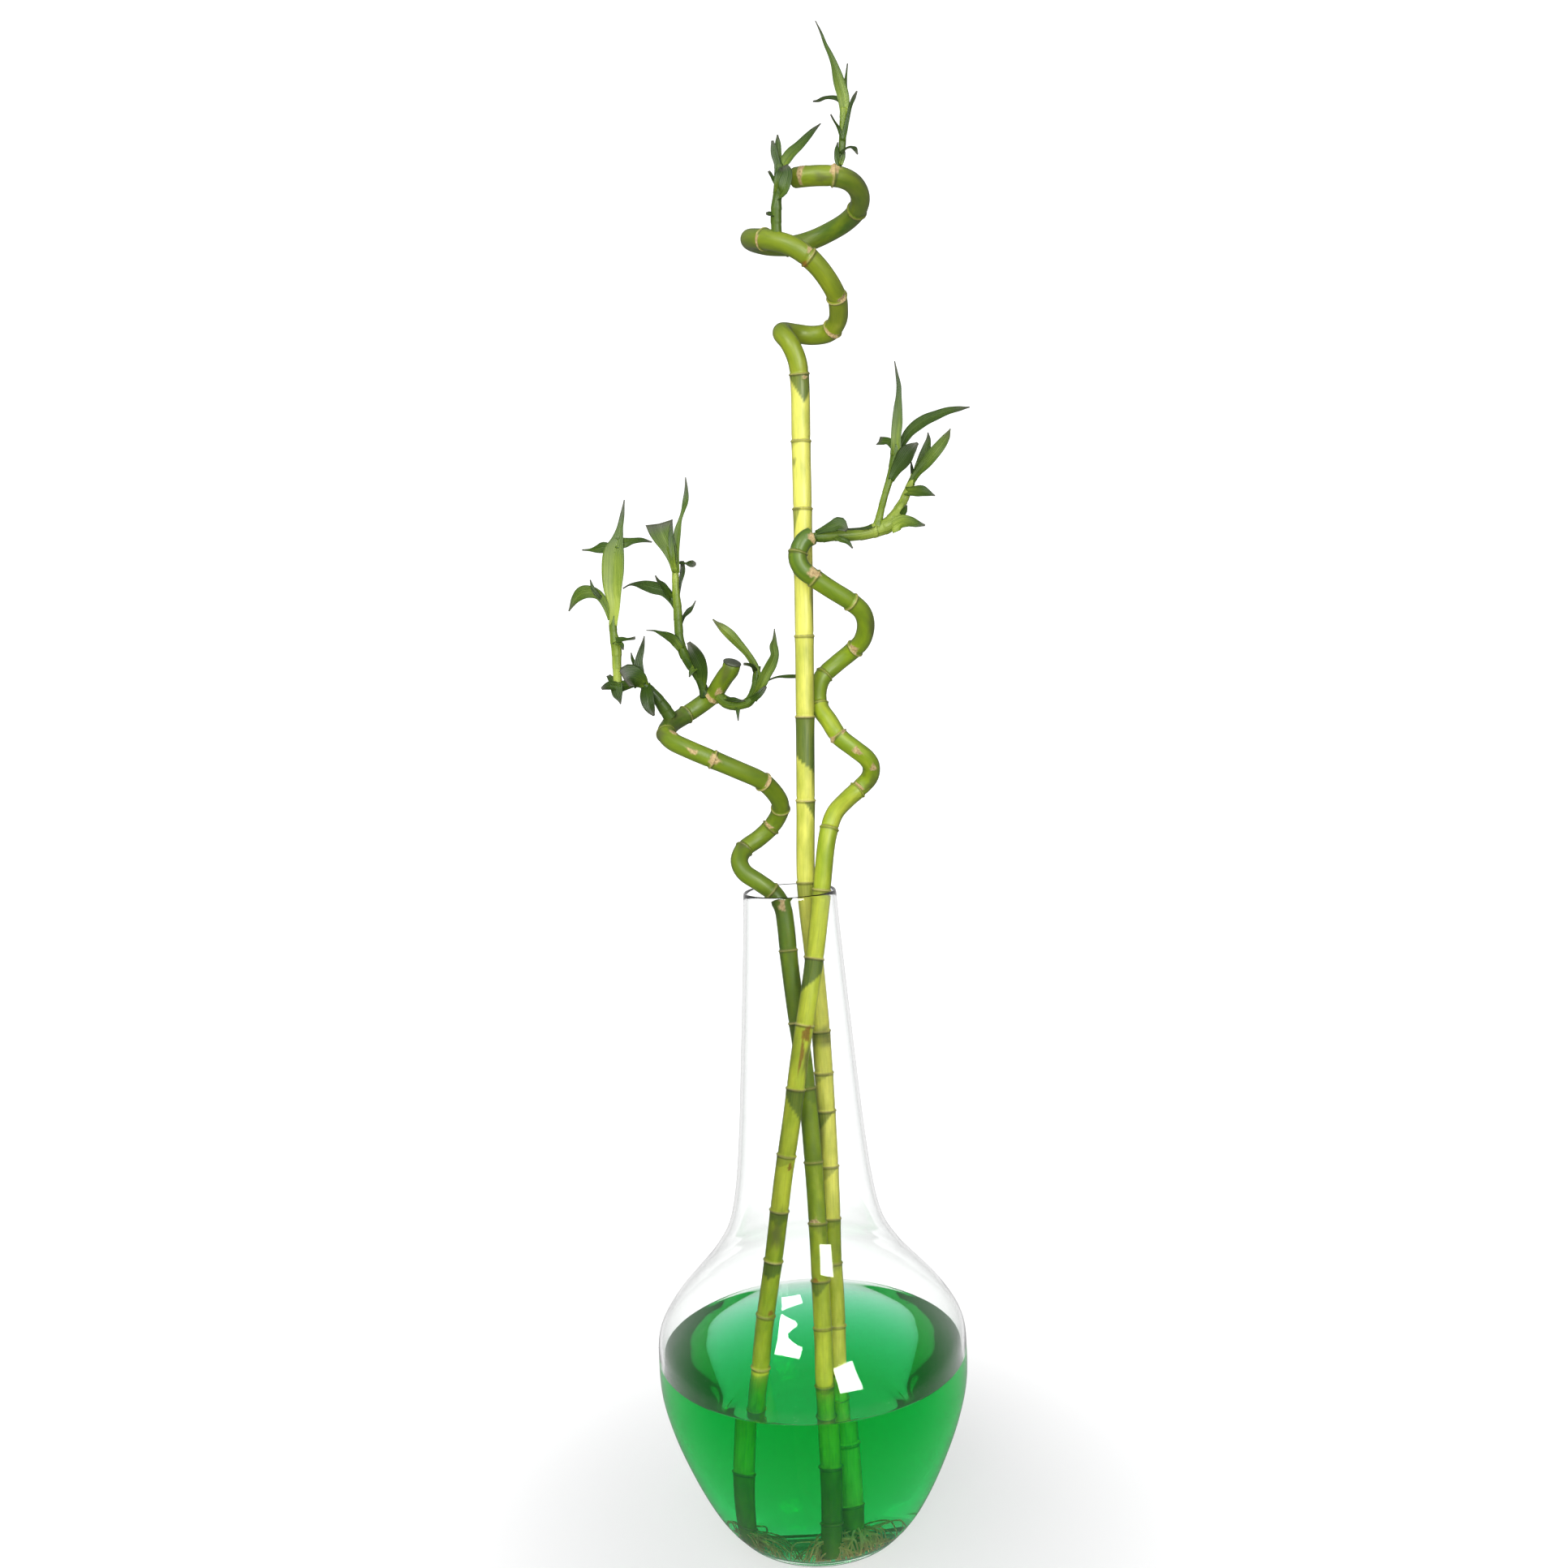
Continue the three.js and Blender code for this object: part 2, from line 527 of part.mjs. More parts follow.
// Shoot from the cut end of the right stalk, forked into two leafy branches
addShoot("shoot_right", "stalk_right", [
  stem([
    [31, -13, 764.5, 3.2], [36.5, -12.5, 764.5, 4.3], [46.5, -11, 765, 4.1], [58.5, -8.5, 765, 4.4],
    [69, -7, 766, 4.9], [78, -6, 768, 5.5],
  ]),
  leaf([
    [33, -14, 767, 3.5], [39, -17, 769, 5.5], [45, -19.5, 770.5, 8.5], [50, -21, 771.5, 11.5],
    [53.5, -22, 769, 6.5], [55.5, -22, 767, 2.5],
  ], [0, -1, 0.3]),
  leaf([
    [75.5, -10, 769.5, 5], [68, -15, 768, 4], [60.5, -17, 768, 3.5], [54, -17, 768, 2.5],
  ], [0, -0.6, 1]),
  leaf([
    [45, -12, 764.5, 3.5], [50.5, -18, 761, 5], [55.5, -20, 758.5, 4], [59, -21, 754, 0.9],
  ], [0.2, -1, 0.4]),
  stem([
    [79, -6, 770, 4], [81, -6, 778, 2.8], [84, -8, 788.5, 2.6], [87, -9, 797.5, 2.6],
    [90.5, -9, 807, 3], [93.5, -9, 816.5, 3.8], [95, -9, 824.5, 4.1], [95, -9, 829.5, 3.8],
  ]),
  leaf([
    [91, -11, 803, 5], [94.5, -13, 810, 8.5], [99, -15.5, 815.5, 12.5], [103, -17.5, 821, 13.5],
    [107, -19, 825, 8], [110.5, -19.5, 828, 1.8],
  ], [-0.3, -1, 0.3]),
  leaf([
    [94.5, -11, 821, 7.5], [95, -12, 833, 7.5], [96.5, -12, 844.5, 8], [97.5, -12, 855, 6.5],
    [98.5, -11, 863.5, 4.5], [99, -10, 872, 3.5], [98, -9, 881, 2], [97, -8, 890, 0.8],
  ], FRONT),
  leaf([
    [96, -7, 821.5, 5], [100.5, -5, 829.5, 6], [105.5, -3, 837, 8.5], [112.5, 0, 843, 10.5],
    [119.5, 3, 847.5, 10], [127.5, 6, 851, 8.5], [136.5, 9, 854.5, 7], [145.5, 12, 856.5, 5],
    [154, 14, 858, 1.2],
  ], [-0.4, -1, 0.4]),
  leaf([
    [94.5, -9, 825, 4.5], [91, -2, 832, 6], [88, 2, 833.5, 7], [84, 6, 834.5, 7.5],
  ], [0, -1, 0.3]),
  stem([
    [77, -5, 767, 4.6], [85.5, -4.5, 770.5, 5.8], [91.5, -3, 775.5, 5.5], [96, -1, 782.5, 4.3],
    [100, 1, 789.5, 3.4], [103.5, 3, 796.5, 3.1], [107, 5, 803.5, 2.8], [109, 6, 809, 2.1],
  ]),
  leaf([
    [109, 7, 805, 4.5], [112.5, 9, 813.5, 6], [117.5, 11, 822, 8.5], [120.5, 13, 830.5, 6],
    [122, 14, 836, 3.5], [122, 15, 841, 0.9],
  ], FRONT),
  leaf([
    [106.5, 4, 802, 5], [111.5, 2, 809.5, 6], [118, 0, 816, 8.5], [124, -3, 822.5, 9],
    [129.5, -5, 828.5, 8], [133.5, -7, 834, 5.5], [136, -9, 839, 0.9],
  ], [-0.2, -1, 0.1]),
  leaf([
    [107.5, 4.5, 800.5, 3], [108.5, 12, 810.5, 3], [108.5, 15, 815.5, 2.5], [108.5, 17, 820, 0.8],
  ], [0.2, -1, 0]),
  leaf([
    [102.5, 1, 795.5, 6], [108, -4, 795, 8], [113, -8, 794, 9], [117.5, -11, 792, 5.5],
    [122, -14, 790, 0.9],
  ], [0.1, -1, 0.2]),
  leaf([
    [89.5, -7, 768.5, 8.5], [96, -10, 772, 11], [102, -14, 771.5, 9], [107.5, -18, 769.5, 5.5],
    [113, -21, 768, 1.5],
  ], [0.1, -1, 0.2]),
  leaf([[97, -4, 777.5, 4.5], [99.5, -7, 781.5, 4.5], [101, -9, 785, 2]], [0.2, -1, 0.2]),
]);

// Twig on the wide turn of the left stalk, which carries a tall leafy tip at its far end
addShoot("shoot_far_left", "stalk_left", [
  stem([
    [-84, 9, 636, 5.3], [-89, 6, 645, 4.9], [-94, 3, 653, 4.1], [-99.5, 1, 660, 3.3],
    [-105, -1, 664, 3.2], [-112.5, -3, 663, 3.4], [-119.5, -5, 661.5, 4.3],
  ]),
  leaf([
    [-100, 0, 661, 7], [-99, -9, 653, 10.5], [-98, -12, 647, 9.5], [-96, -12, 641.5, 5.5],
    [-94.5, -12, 638.5, 1.5],
  ], [-0.1, -1, 0.2]),
  leaf([
    [-104, -3, 662, 6.5], [-105.5, -4, 672, 9], [-104.5, -3, 680.5, 6], [-102.5, -1, 687.5, 4.5],
    [-101, 2, 693.5, 2.5], [-100, 4, 698.5, 0.9],
  ], [0.2, -1, 0.1]),
  leaf([
    [-100.5, 0, 661, 5.5], [-105.5, -9, 666.5, 13.5], [-110.5, -13, 668, 19],
    [-115, -15, 666, 14.5],
  ], [-0.2, -1, 0.2]),
  leaf([[-105, -4, 671, 3], [-110, 6, 681.5, 2.5], [-111, 8, 686.5, 0.9]], FRONT),
  stem([
    [-121, -5, 659, 4.4], [-121, -5, 665.5, 3.3], [-121, -5, 677.5, 3.4], [-120.5, -5, 689.5, 3.9],
    [-121, -5, 694.5, 3.9], [-122, -5, 701, 3], [-122, -5, 710, 3], [-120.5, -5, 720, 2.8],
  ]),
  leaf([
    [-119.5, -7, 661.5, 5.5], [-125, -12, 662, 7.5], [-128.5, -15, 661.5, 6],
    [-132, -17, 660.5, 2.5],
  ], [0, -1, 0.4]),
  leaf([
    [-121.5, -10, 662.5, 9], [-120.5, -14, 655.5, 8], [-119, -16, 651.5, 3.5],
    [-118.5, -17, 648.5, 0.9],
  ], [0, -1, 0.3]),
  leaf([[-121, -4, 660.5, 5.5], [-125.5, 1, 666, 6], [-129, 5, 670, 3.5]], [0.2, -1, 0.4]),
  leaf([[-120, -4, 659, 5.5], [-117.5, 4, 661.5, 7.5], [-116.5, 9, 664, 6]], [-0.3, -1, 0.2]),
  leaf([
    [-121.5, -6, 707.5, 6], [-119.5, -8, 721, 8], [-120, -9, 734, 13.5], [-119, -9, 747, 16.5],
    [-117.5, -8.5, 760.5, 15.5], [-114.5, -7, 770.5, 9], [-112.5, -5, 779, 5],
    [-110.5, -3, 788.5, 3.5], [-108.5, -1, 800, 0.9],
  ], FRONT),
  leaf([
    [-115, -8, 761.5, 2.5], [-124.5, -5, 765, 8.5], [-130.5, -3, 764.5, 6], [-136, 0, 764.5, 2.5],
    [-142.5, 2, 765, 0.9],
  ], [0.1, -1, 0.2]),
  leaf([
    [-116, -6, 767.5, 7.5], [-109.5, -7, 767.5, 8], [-103, -9, 768.5, 5], [-96, -12, 768.5, 3.5],
    [-88.5, -15, 766.5, 1.2],
  ], [0.1, -1, 0.2]),
  leaf([
    [-123.5, -6, 711.5, 3.5], [-126.5, -3, 722, 5.5], [-131.5, 1, 730, 7], [-138, 4, 733, 9.5],
    [-144.5, 6, 733, 11], [-150, 8, 729.5, 7.5], [-156.5, 10, 720.5, 0.9],
  ], [-0.1, -1, 0.3]),
  leaf([[-129, 0, 726.5, 3.5], [-135.5, 0, 734.5, 3.5], [-138, 2, 742.5, 0.9]], [0.2, -1, 0.2]),
  leaf([
    [-121.5, -7, 695, 5], [-116, -11, 696, 4.5], [-110.5, -15, 696, 2.5], [-104.5, -18, 696.5, 2.5],
  ], [0, -1, 0.5]),
  leaf([
    [-119.5, -9, 694.5, 5], [-115.5, -13, 692, 3.5], [-114.5, -15, 688.5, 1.2],
  ], [0.3, -1, 0.3]),
]);

// Shoot just below the last ring of the left stalk
addShoot("shoot_left", "stalk_left", [
  stem([
    [-57.5, 24, 650.5, 4.2], [-59, 22, 658.5, 3.5], [-62, 19, 666.5, 3.5], [-67, 17.5, 675.5, 4],
    [-71.5, 16, 684, 3.9], [-74, 15, 694, 3.4], [-74.5, 15, 705, 3.4], [-74.5, 15, 718.5, 3.4],
    [-75, 15, 732, 2.9], [-74.5, 15, 747.5, 2.7],
  ]),
  leaf([
    [-58.5, 21.5, 657, 5.5], [-58, 13, 670, 9], [-60.5, 9, 679.5, 11], [-64, 6.5, 687, 8],
    [-67, 6, 692.5, 3],
  ], [-0.2, -1, 0.3]),
  leaf([[-62.5, 14, 674, 6], [-66, 9, 670, 4.5], [-68, 7, 666, 0.9]], [0, -1, 0.4]),
  leaf([
    [-74, 13, 687.5, 5.5], [-78, 10, 694, 7.5], [-82.5, 6, 697.5, 6.5], [-87.5, 2, 700, 3.5],
    [-92, -1, 702, 1.5], [-97.5, -4, 702.5, 0.8],
  ], [0.1, -1, 0.2]),
  leaf([
    [-74.5, 17, 717.5, 5], [-78.5, 20, 725.5, 6.5], [-84.5, 24, 732.5, 9], [-92.5, 27, 735.5, 10],
    [-100, 29, 738, 8], [-106.5, 31, 739.5, 4], [-111.5, 32, 739.5, 1.5], [-117, 33, 737, 0.8],
  ], [-0.1, -1, 0.3]),
  leaf([
    [-79.5, 21, 727, 5], [-84.5, 13, 736, 5.5], [-87.5, 10, 739.5, 3], [-89.5, 8, 744, 0.9],
  ], [0.2, -1, 0.3]),
  leaf([
    [-74, 16, 702.5, 3], [-70.5, 22, 712, 3], [-66.5, 25, 716.5, 4.5], [-63.5, 27, 720, 1.9],
    [-61, 28, 724.5, 0.8],
  ], [-0.3, -1, 0.2]),
  leaf([
    [-73, 12.5, 753, 2.5], [-66.5, 18, 752.5, 1.8], [-63.5, 17, 752, 4.5],
    [-60.5, 16.5, 751.5, 5.5], [-58.5, 16, 751.5, 2.5],
  ], [0, -1, 0.2]),
  leaf([
    [-74.5, 16, 724, 2.5], [-72, 21, 738, 3], [-69.5, 22, 747.5, 4], [-69.5, 22, 755, 3],
  ], [0.2, -1, 0]),
  leaf([
    [-75, 12, 746.5, 4.5], [-76, 11, 755.5, 7.5], [-78.5, 11, 764.5, 12], [-82, 12, 772.5, 16],
    [-84, 13, 778, 18.5], [-85, 14, 783, 20.5],
  ], [0.1, -1, 0.05]),
  leaf([
    [-75, 14.5, 743.5, 3], [-75.5, 8, 757, 4], [-76, 8.5, 770, 4], [-75.5, 10, 778.5, 3],
    [-74.5, 11, 785.5, 0.9],
  ], FRONT),
  leaf([
    [-73.5, 13, 745.5, 5], [-73, 12, 760, 5], [-71, 11, 775.5, 5.5], [-68.5, 11, 784.5, 3],
    [-66, 11, 791, 3], [-63.5, 10, 798.5, 4.5], [-62.5, 10, 806.5, 3], [-62.5, 9, 816, 0.8],
  ], FRONT),
]);

// Shoot on the last bend of the left stalk, which hooks up in front of the tall one
addShoot("shoot_inner", "stalk_left", [
  stem([
    [-46.5, 19, 650, 4.1], [-42.5, 16, 646.5, 4.7], [-37, 12, 643.5, 4.4], [-30.5, 9, 643, 3.6],
    [-24, 7.5, 645, 3.8], [-20, 7, 650.5, 3.8], [-18, 6, 657, 3.2], [-17, 6, 665, 2.8],
    [-15.5, 6, 672, 2.5],
  ]),
  leaf([
    [-15.5, 6, 660, 5.5], [-18, 3, 671.5, 6], [-23, 0, 681, 5.5], [-29, -3, 688.5, 7],
    [-35, -6, 695.5, 8.5], [-41, -8, 701.5, 6.5], [-44.5, -10, 705, 3], [-47, -11, 708, 0.9],
  ], [0.3, -1, 0.3]),
  leaf([
    [-20.5, 7, 647, 6], [-13.5, 2, 658.5, 8], [-9.5, 1, 666, 8.5], [-5.5, 0, 672.5, 8.5],
    [-2.5, -1, 679.5, 6.5], [-3, -2, 686, 6.5], [-2, -3, 691, 3.5], [-1.5, -4, 699, 0.8],
  ], [0.3, -1, 0]),
  leaf([
    [-17.5, 6.5, 657, 3.5], [-8, 13, 660.5, 1.5], [-1, 18, 662.5, 2], [6.5, 21, 662.5, 3],
    [19, 23, 662, 3],
  ], [0, -1, 0.6]),
  leaf([
    [-23, 6, 645.5, 5.5], [-16.5, -1, 649.5, 5], [-12.5, -1, 653.5, 4], [-10, 0, 656, 2],
  ], [0.4, -1, 0.3]),
  leaf([
    [-17, 5.5, 666, 5], [-20, -1, 671.5, 3.5], [-23, -4, 673, 3], [-26, -6, 673.5, 2],
  ], [0, -1, 0.5]),
  leaf([[-32.5, 10, 643.5, 4.5], [-32.5, 5, 637.5, 3], [-32.5, 4, 631, 0.8]], [0.2, -1, 0]),
  leaf([
    [-41, 12, 647.5, 3.5], [-36, 6, 647, 4.5], [-31, 3, 646, 3], [-26.5, 3, 646, 1.2],
  ], [0, -1, 0.8]),
]);

export default part;
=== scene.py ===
import math

import bpy
import numpy as np
from mathutils import Matrix, Vector


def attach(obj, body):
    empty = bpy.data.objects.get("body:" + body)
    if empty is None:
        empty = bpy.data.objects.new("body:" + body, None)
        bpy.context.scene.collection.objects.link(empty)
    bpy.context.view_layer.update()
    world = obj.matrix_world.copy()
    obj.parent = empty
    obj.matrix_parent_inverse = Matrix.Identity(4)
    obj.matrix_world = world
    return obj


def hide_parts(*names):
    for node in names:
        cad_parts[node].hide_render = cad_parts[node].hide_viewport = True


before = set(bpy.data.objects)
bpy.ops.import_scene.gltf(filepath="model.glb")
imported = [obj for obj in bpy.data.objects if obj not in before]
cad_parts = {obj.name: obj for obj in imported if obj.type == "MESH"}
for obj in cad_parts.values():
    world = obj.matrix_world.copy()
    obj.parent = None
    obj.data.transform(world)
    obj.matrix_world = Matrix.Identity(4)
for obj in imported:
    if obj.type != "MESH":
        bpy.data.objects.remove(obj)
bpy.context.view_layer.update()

# Glass vase
#
# The vase is one blown bottle of clear glass with a wide belly, a long narrow neck, a
# rounded lip and a thick flat foot. It stands loose on its foot and carries all the rest.
MM = 0.001
VASE_HEIGHT = 500
FOOT_RADIUS = 58
BASE_THICKNESS = 9
WALL_LOW = 3.2
WALL_MOUTH = 2.4
VASE_OUTLINE = [
    (71, 6), (82, 20), (93, 40), (104, 65), (113, 90), (119, 115), (120, 140), (118, 160),
    (106, 180), (88.5, 200), (74, 217), (60.5, 240), (53.5, 270), (48.5, 315), (43.5, 380),
    (38.5, 450), (35.7, 497),
]
NEAR_AXIS = 0.01
HEEL_PROFILE = [
    (NEAR_AXIS, 0), (FOOT_RADIUS * 0.5, 0), (FOOT_RADIUS, 0), (62, 0.5), (65.5, 1.7), (68.5, 3.4),
]
# points of the lip, in from the outside of the mouth and down from the top
LIP_PROFILE = [
    (0.15, 1.6), (0.5, 0.5), (WALL_MOUTH / 2, 0), (WALL_MOUTH - 0.5, 0.5), (WALL_MOUTH - 0.15, 1.6),
]
# points of the rounded corner inside, in from the foot of the wall and up from the base
CORNER_PROFILE = [(1.7, 3.2), (4, 1.5), (7, 0.5), (11, 0)]
WATER_LEVEL = 139.5
GLASS_BENDING = 1.45
WATER_BENDING = 1.333
VASE_STEPS = 150
VASE_FACETS = 160
FIRST_INSIDE = 0.055


def add_mesh(name, points, faces, marks):
    """A smooth mesh from points in millimetres. Each mark gives one number for each point."""
    mesh = bpy.data.meshes.new(name)
    mesh.from_pydata((np.asarray(points, float) * MM).tolist(), [], faces)
    for mark, values in marks.items():
        values = np.asarray(values, float)
        mesh.attributes.new(mark, "FLOAT", "POINT").data.foreach_set("value", values)
    mesh.shade_smooth()
    piece = bpy.data.objects.new(name, mesh)
    bpy.context.scene.collection.objects.link(piece)
    return piece


def skin(rows, columns, start=0):
    """Faces over a grid of points, row after row, where each row goes round and closes."""
    faces = []
    for row in range(rows - 1):
        for column in range(columns):
            beside = (column + 1) % columns
            low = start + row * columns
            high = low + columns
            faces.append((low + column, low + beside, high + beside, high + column))
    return faces


def turned(profile, facets):
    """Points and faces of a profile of radius and height, turned about the Z axis."""
    angles = np.arange(facets) * 2 * math.pi / facets
    points = [
        (radius * math.cos(angle), radius * math.sin(angle), height)
        for radius, height in profile
        for angle in angles
    ]
    return points, skin(len(profile), facets)


def outline_at(share):
    """Point and direction of the vase's outside at a share of the way to the mouth."""
    last = len(VASE_OUTLINE) - 1
    place = share * last
    index = min(int(place), last - 1)
    weight = place - index
    knots = [np.array(VASE_OUTLINE[min(max(index + step, 0), last)], float) for step in (-1, 0, 1, 2)]
    leave = (knots[2] - knots[0]) / 2
    arrive = (knots[3] - knots[1]) / 2
    cubic = 2 * knots[1] - 2 * knots[2] + leave + arrive
    square = -3 * knots[1] + 3 * knots[2] - 2 * leave - arrive
    point = ((cubic * weight + square) * weight + leave) * weight + knots[1]
    heading = (3 * cubic * weight + 2 * square) * weight + leave
    return point, heading / np.linalg.norm(heading)


def wall(share, depth):
    """Point of the vase's wall that lies deeper than its outside."""
    point, heading = outline_at(share)
    return point[0] - heading[1] * depth, point[1] + heading[0] * depth


def wall_thickness(share):
    """The wall thins out over the lower half of the outline and stays thin up the neck."""
    return WALL_LOW + (WALL_MOUTH - WALL_LOW) * min(1, 2 * share)


def node_tree(name):
    """A new material with its nodes and its main shader."""
    material = bpy.data.materials.new(name)
    material.use_nodes = True
    tree = material.node_tree
    shader = tree.nodes["Principled BSDF"]
    return material, tree, shader


def add_node(tree, kind, inputs=(), **settings):
    """A node with its settings, and its inputs set or linked by name or number."""
    node = tree.nodes.new(kind)
    for key, value in settings.items():
        setattr(node, key, value)
    for key, value in dict(inputs).items():
        if isinstance(value, bpy.types.NodeSocket):
            tree.links.new(value, node.inputs[key])
        else:
            node.inputs[key].default_value = value
    return node


def noise(tree, scale, detail=3.0, stretch=(1, 1, 1)):
    """Soft random numbers over the object's own space."""
    place = add_node(tree, "ShaderNodeTexCoord").outputs["Object"]
    mapped = add_node(tree, "ShaderNodeMapping", {"Vector": place, "Scale": stretch})
    pattern = add_node(
        tree, "ShaderNodeTexNoise",
        {"Vector": mapped.outputs[0], "Scale": scale, "Detail": detail},
    )
    return pattern.outputs["Fac"]


def glass_material(name, bending):
    """Clear glass with a faint green cast and slight waves from blowing."""
    material, tree, shader = node_tree(name)
    tint = add_node(tree, "ShaderNodeValToRGB", {"Fac": noise(tree, 9.0)})
    tint.color_ramp.elements[0].color = (0.985, 1.0, 0.993, 1)
    tint.color_ramp.elements[1].color = (1.0, 1.0, 1.0, 1)
    waves = add_node(
        tree, "ShaderNodeBump",
        {"Strength": 0.03, "Distance": 0.002, "Height": noise(tree, 22.0, 1.0, (1, 1, 0.5))},
    )
    tree.links.new(tint.outputs["Color"], shader.inputs["Base Color"])
    tree.links.new(waves.outputs["Normal"], shader.inputs["Normal"])
    shader.inputs["Roughness"].default_value = 0.0
    shader.inputs["IOR"].default_value = bending
    shader.inputs["Transmission Weight"].default_value = 1.0
    return material


outer = [wall(step / VASE_STEPS, 0) for step in range(VASE_STEPS + 1)]
inner = []
for step in range(VASE_STEPS + 1):
    share = FIRST_INSIDE + (1 - FIRST_INSIDE) * step / VASE_STEPS
    inner.append(wall(share, wall_thickness(share)))
mouth_radius = outer[-1][0]
lip = [(mouth_radius - inset, VASE_HEIGHT - drop) for inset, drop in LIP_PROFILE]
corner_radius = inner[0][0]
base_top = [(corner_radius - inset, BASE_THICKNESS + rise) for inset, rise in CORNER_PROFILE]
base_top += [(corner_radius * 0.4, BASE_THICKNESS), (NEAR_AXIS, BASE_THICKNESS)]
shell = HEEL_PROFILE + outer + lip + inner[::-1] + base_top
vase_points, vase_faces = turned(shell, VASE_FACETS)
vase = add_mesh("bottle_vase", vase_points, vase_faces, {})
vase.data.materials.append(glass_material("clear_glass", GLASS_BENDING))
vase.data.materials.append(glass_material("wet_glass", GLASS_BENDING / WATER_BENDING))
first_wet = len(HEEL_PROFILE + outer + lip)
for polygon in vase.data.polygons:
    row = min(polygon.vertices) // VASE_FACETS
    if row >= first_wet and polygon.center.z < WATER_LEVEL * MM:
        polygon.material_index = 1
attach(vase, "root")
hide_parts("glass_vase")

# Water
#
# The water is dyed green and fills the vase to just below its shoulder, where it climbs a
# little up the glass. It is poured in and holds the feet of the canes.
OFF_GLASS = 0.05
MENISCUS = 1.6
DYE_COLOUR = (0.0, 0.79, 0.44, 1)
DYE_DENSITY = 30.0
# painted glow: the water gives off a faint green light of its own, in place of light scattered in the
# dye
PAINTED_GLOW_COLOUR = (0.02, 1.0, 0.2, 1)
PAINTED_GLOW_STRENGTH = 0.7


def mark_value(tree, name):
    """A number that the mesh carries at each point."""
    return add_node(tree, "ShaderNodeAttribute", attribute_name=name).outputs["Fac"]


def arithmetic(tree, operation, first, second, limit=False):
    """A sum of two values, held between nought and one where it has a limit."""
    node = add_node(tree, "ShaderNodeMath", operation=operation, use_clamp=limit)
    for socket, value in zip(node.inputs, (first, second)):
        if isinstance(value, bpy.types.NodeSocket):
            tree.links.new(value, socket)
        else:
            socket.default_value = value
    return node.outputs[0]


def water_material():
    """Dyed water takes its green from how far light goes through it, and bends light at its top.

    At the glass the vase's own inner face bends the light, so the water's side leaves it alone.
    """
    material, tree, shader = node_tree("green_water")
    ripples = add_node(
        tree, "ShaderNodeBump",
        {"Strength": 0.05, "Distance": 0.002, "Height": noise(tree, 14.0, 1.0)},
    )
    tree.links.new(ripples.outputs["Normal"], shader.inputs["Normal"])
    shader.inputs["Base Color"].default_value = (1.0, 1.0, 1.0, 1)
    shader.inputs["Roughness"].default_value = 0.0
    bending = arithmetic(tree, "MULTIPLY_ADD", mark_value(tree, "open"), WATER_BENDING - 1.0)
    bending.node.inputs[2].default_value = 1.0
    tree.links.new(bending, shader.inputs["IOR"])
    shader.inputs["Transmission Weight"].default_value = 1.0
    dye = add_node(
        tree, "ShaderNodeVolumeAbsorption", {"Color": DYE_COLOUR, "Density": DYE_DENSITY}
    )
    # painted glow: the water's volume gives off a faint green light of its own
    painted_glow = add_node(
        tree, "ShaderNodeEmission", {"Color": PAINTED_GLOW_COLOUR, "Strength": PAINTED_GLOW_STRENGTH}
    )
    both = add_node(
        tree, "ShaderNodeAddShader", {0: dye.outputs["Volume"], 1: painted_glow.outputs["Emission"]}
    )
    output = tree.nodes["Material Output"]
    tree.links.new(both.outputs["Shader"], output.inputs["Volume"])
    return material


wet = []
for share in np.linspace(FIRST_INSIDE, 1, 400):
    radius, height = wall(share, wall_thickness(share) + OFF_GLASS)
    if height > WATER_LEVEL + MENISCUS:
        break
    wet.append((radius, height))
water_floor = BASE_THICKNESS + OFF_GLASS
under_water = [(NEAR_AXIS, water_floor)]
under_water += [(wet[0][0] - inset, water_floor + rise) for inset, rise in CORNER_PROFILE[::-1]]
rim_radius = wet[-1][0]
climb = [
    (rim_radius - 3.4 * MENISCUS * step, WATER_LEVEL + MENISCUS * math.exp(-3.2 * step))
    for step in np.linspace(0.06, 1.3, 8)
]
open_water = climb + [(share * rim_radius, WATER_LEVEL) for share in (0.85, 0.6, 0.3, 0.0001)]
water_points, water_faces = turned(under_water + wet + open_water, VASE_FACETS)
opened = np.zeros(len(water_points))
opened[(len(under_water) + len(wet)) * VASE_FACETS:] = 1
water = add_mesh("green_water", water_points, water_faces, {"open": opened})
water.data.materials.append(water_material())
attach(water, "root")
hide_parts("water")

# Tall cane
#
# The tall cane is a living stalk of lucky bamboo, yellow-green below and olive where it was
# turned towards the light to wind twice round itself. It stands in the water on its roots.
TALL_RADIUS = 7.3
TALL_ROUTE = [
    (19.5, -43.5, 14), (19, -45, 60), (18, -44, 105), (17.7, -41.5, 139), (18.8, -33, 191),
    (18.2, -27, 221), (18.9, -21, 250), (19.5, -14, 286), (19.4, -8, 328), (18.5, -2, 390),
    (16, 3, 448), (13, 7, 500), (15.8, 6, 568), (18.5, 5, 632), (20.9, 4, 693), (22.6, 4, 740),
    (24.2, 4, 787), (25.5, 4, 836), (26.8, 3, 880), (25.5, 0.5, 896), (20.5, 0.5, 909),
    (15.5, 7, 917.5), (17.5, 18, 921.5), (26.5, 27, 922), (39, 29, 920.5), (51, 24, 921),
    (57.5, 12, 926.5), (58, 0, 932), (56.5, -11, 937.5), (51.5, -22, 944.5), (43, -31, 954),
    (34.5, -36, 961), (24.5, -37, 967.5), (10, -30, 974.5), (-1, -14, 981), (-5, 3, 986),
    (-1, 20, 988.5), (10.5, 33, 989.5), (26.5, 41, 991.5), (42, 42, 995), (56, 37, 999),
    (68, 27, 1002.5), (75.5, 12, 1005.5), (77.5, -3, 1009), (74, -17, 1012.5),
    (67.5, -27, 1014.5), (58.5, -33, 1015.5), (48, -33, 1016.5), (38.5, -30, 1017.5),
    (29, -24, 1019),
]
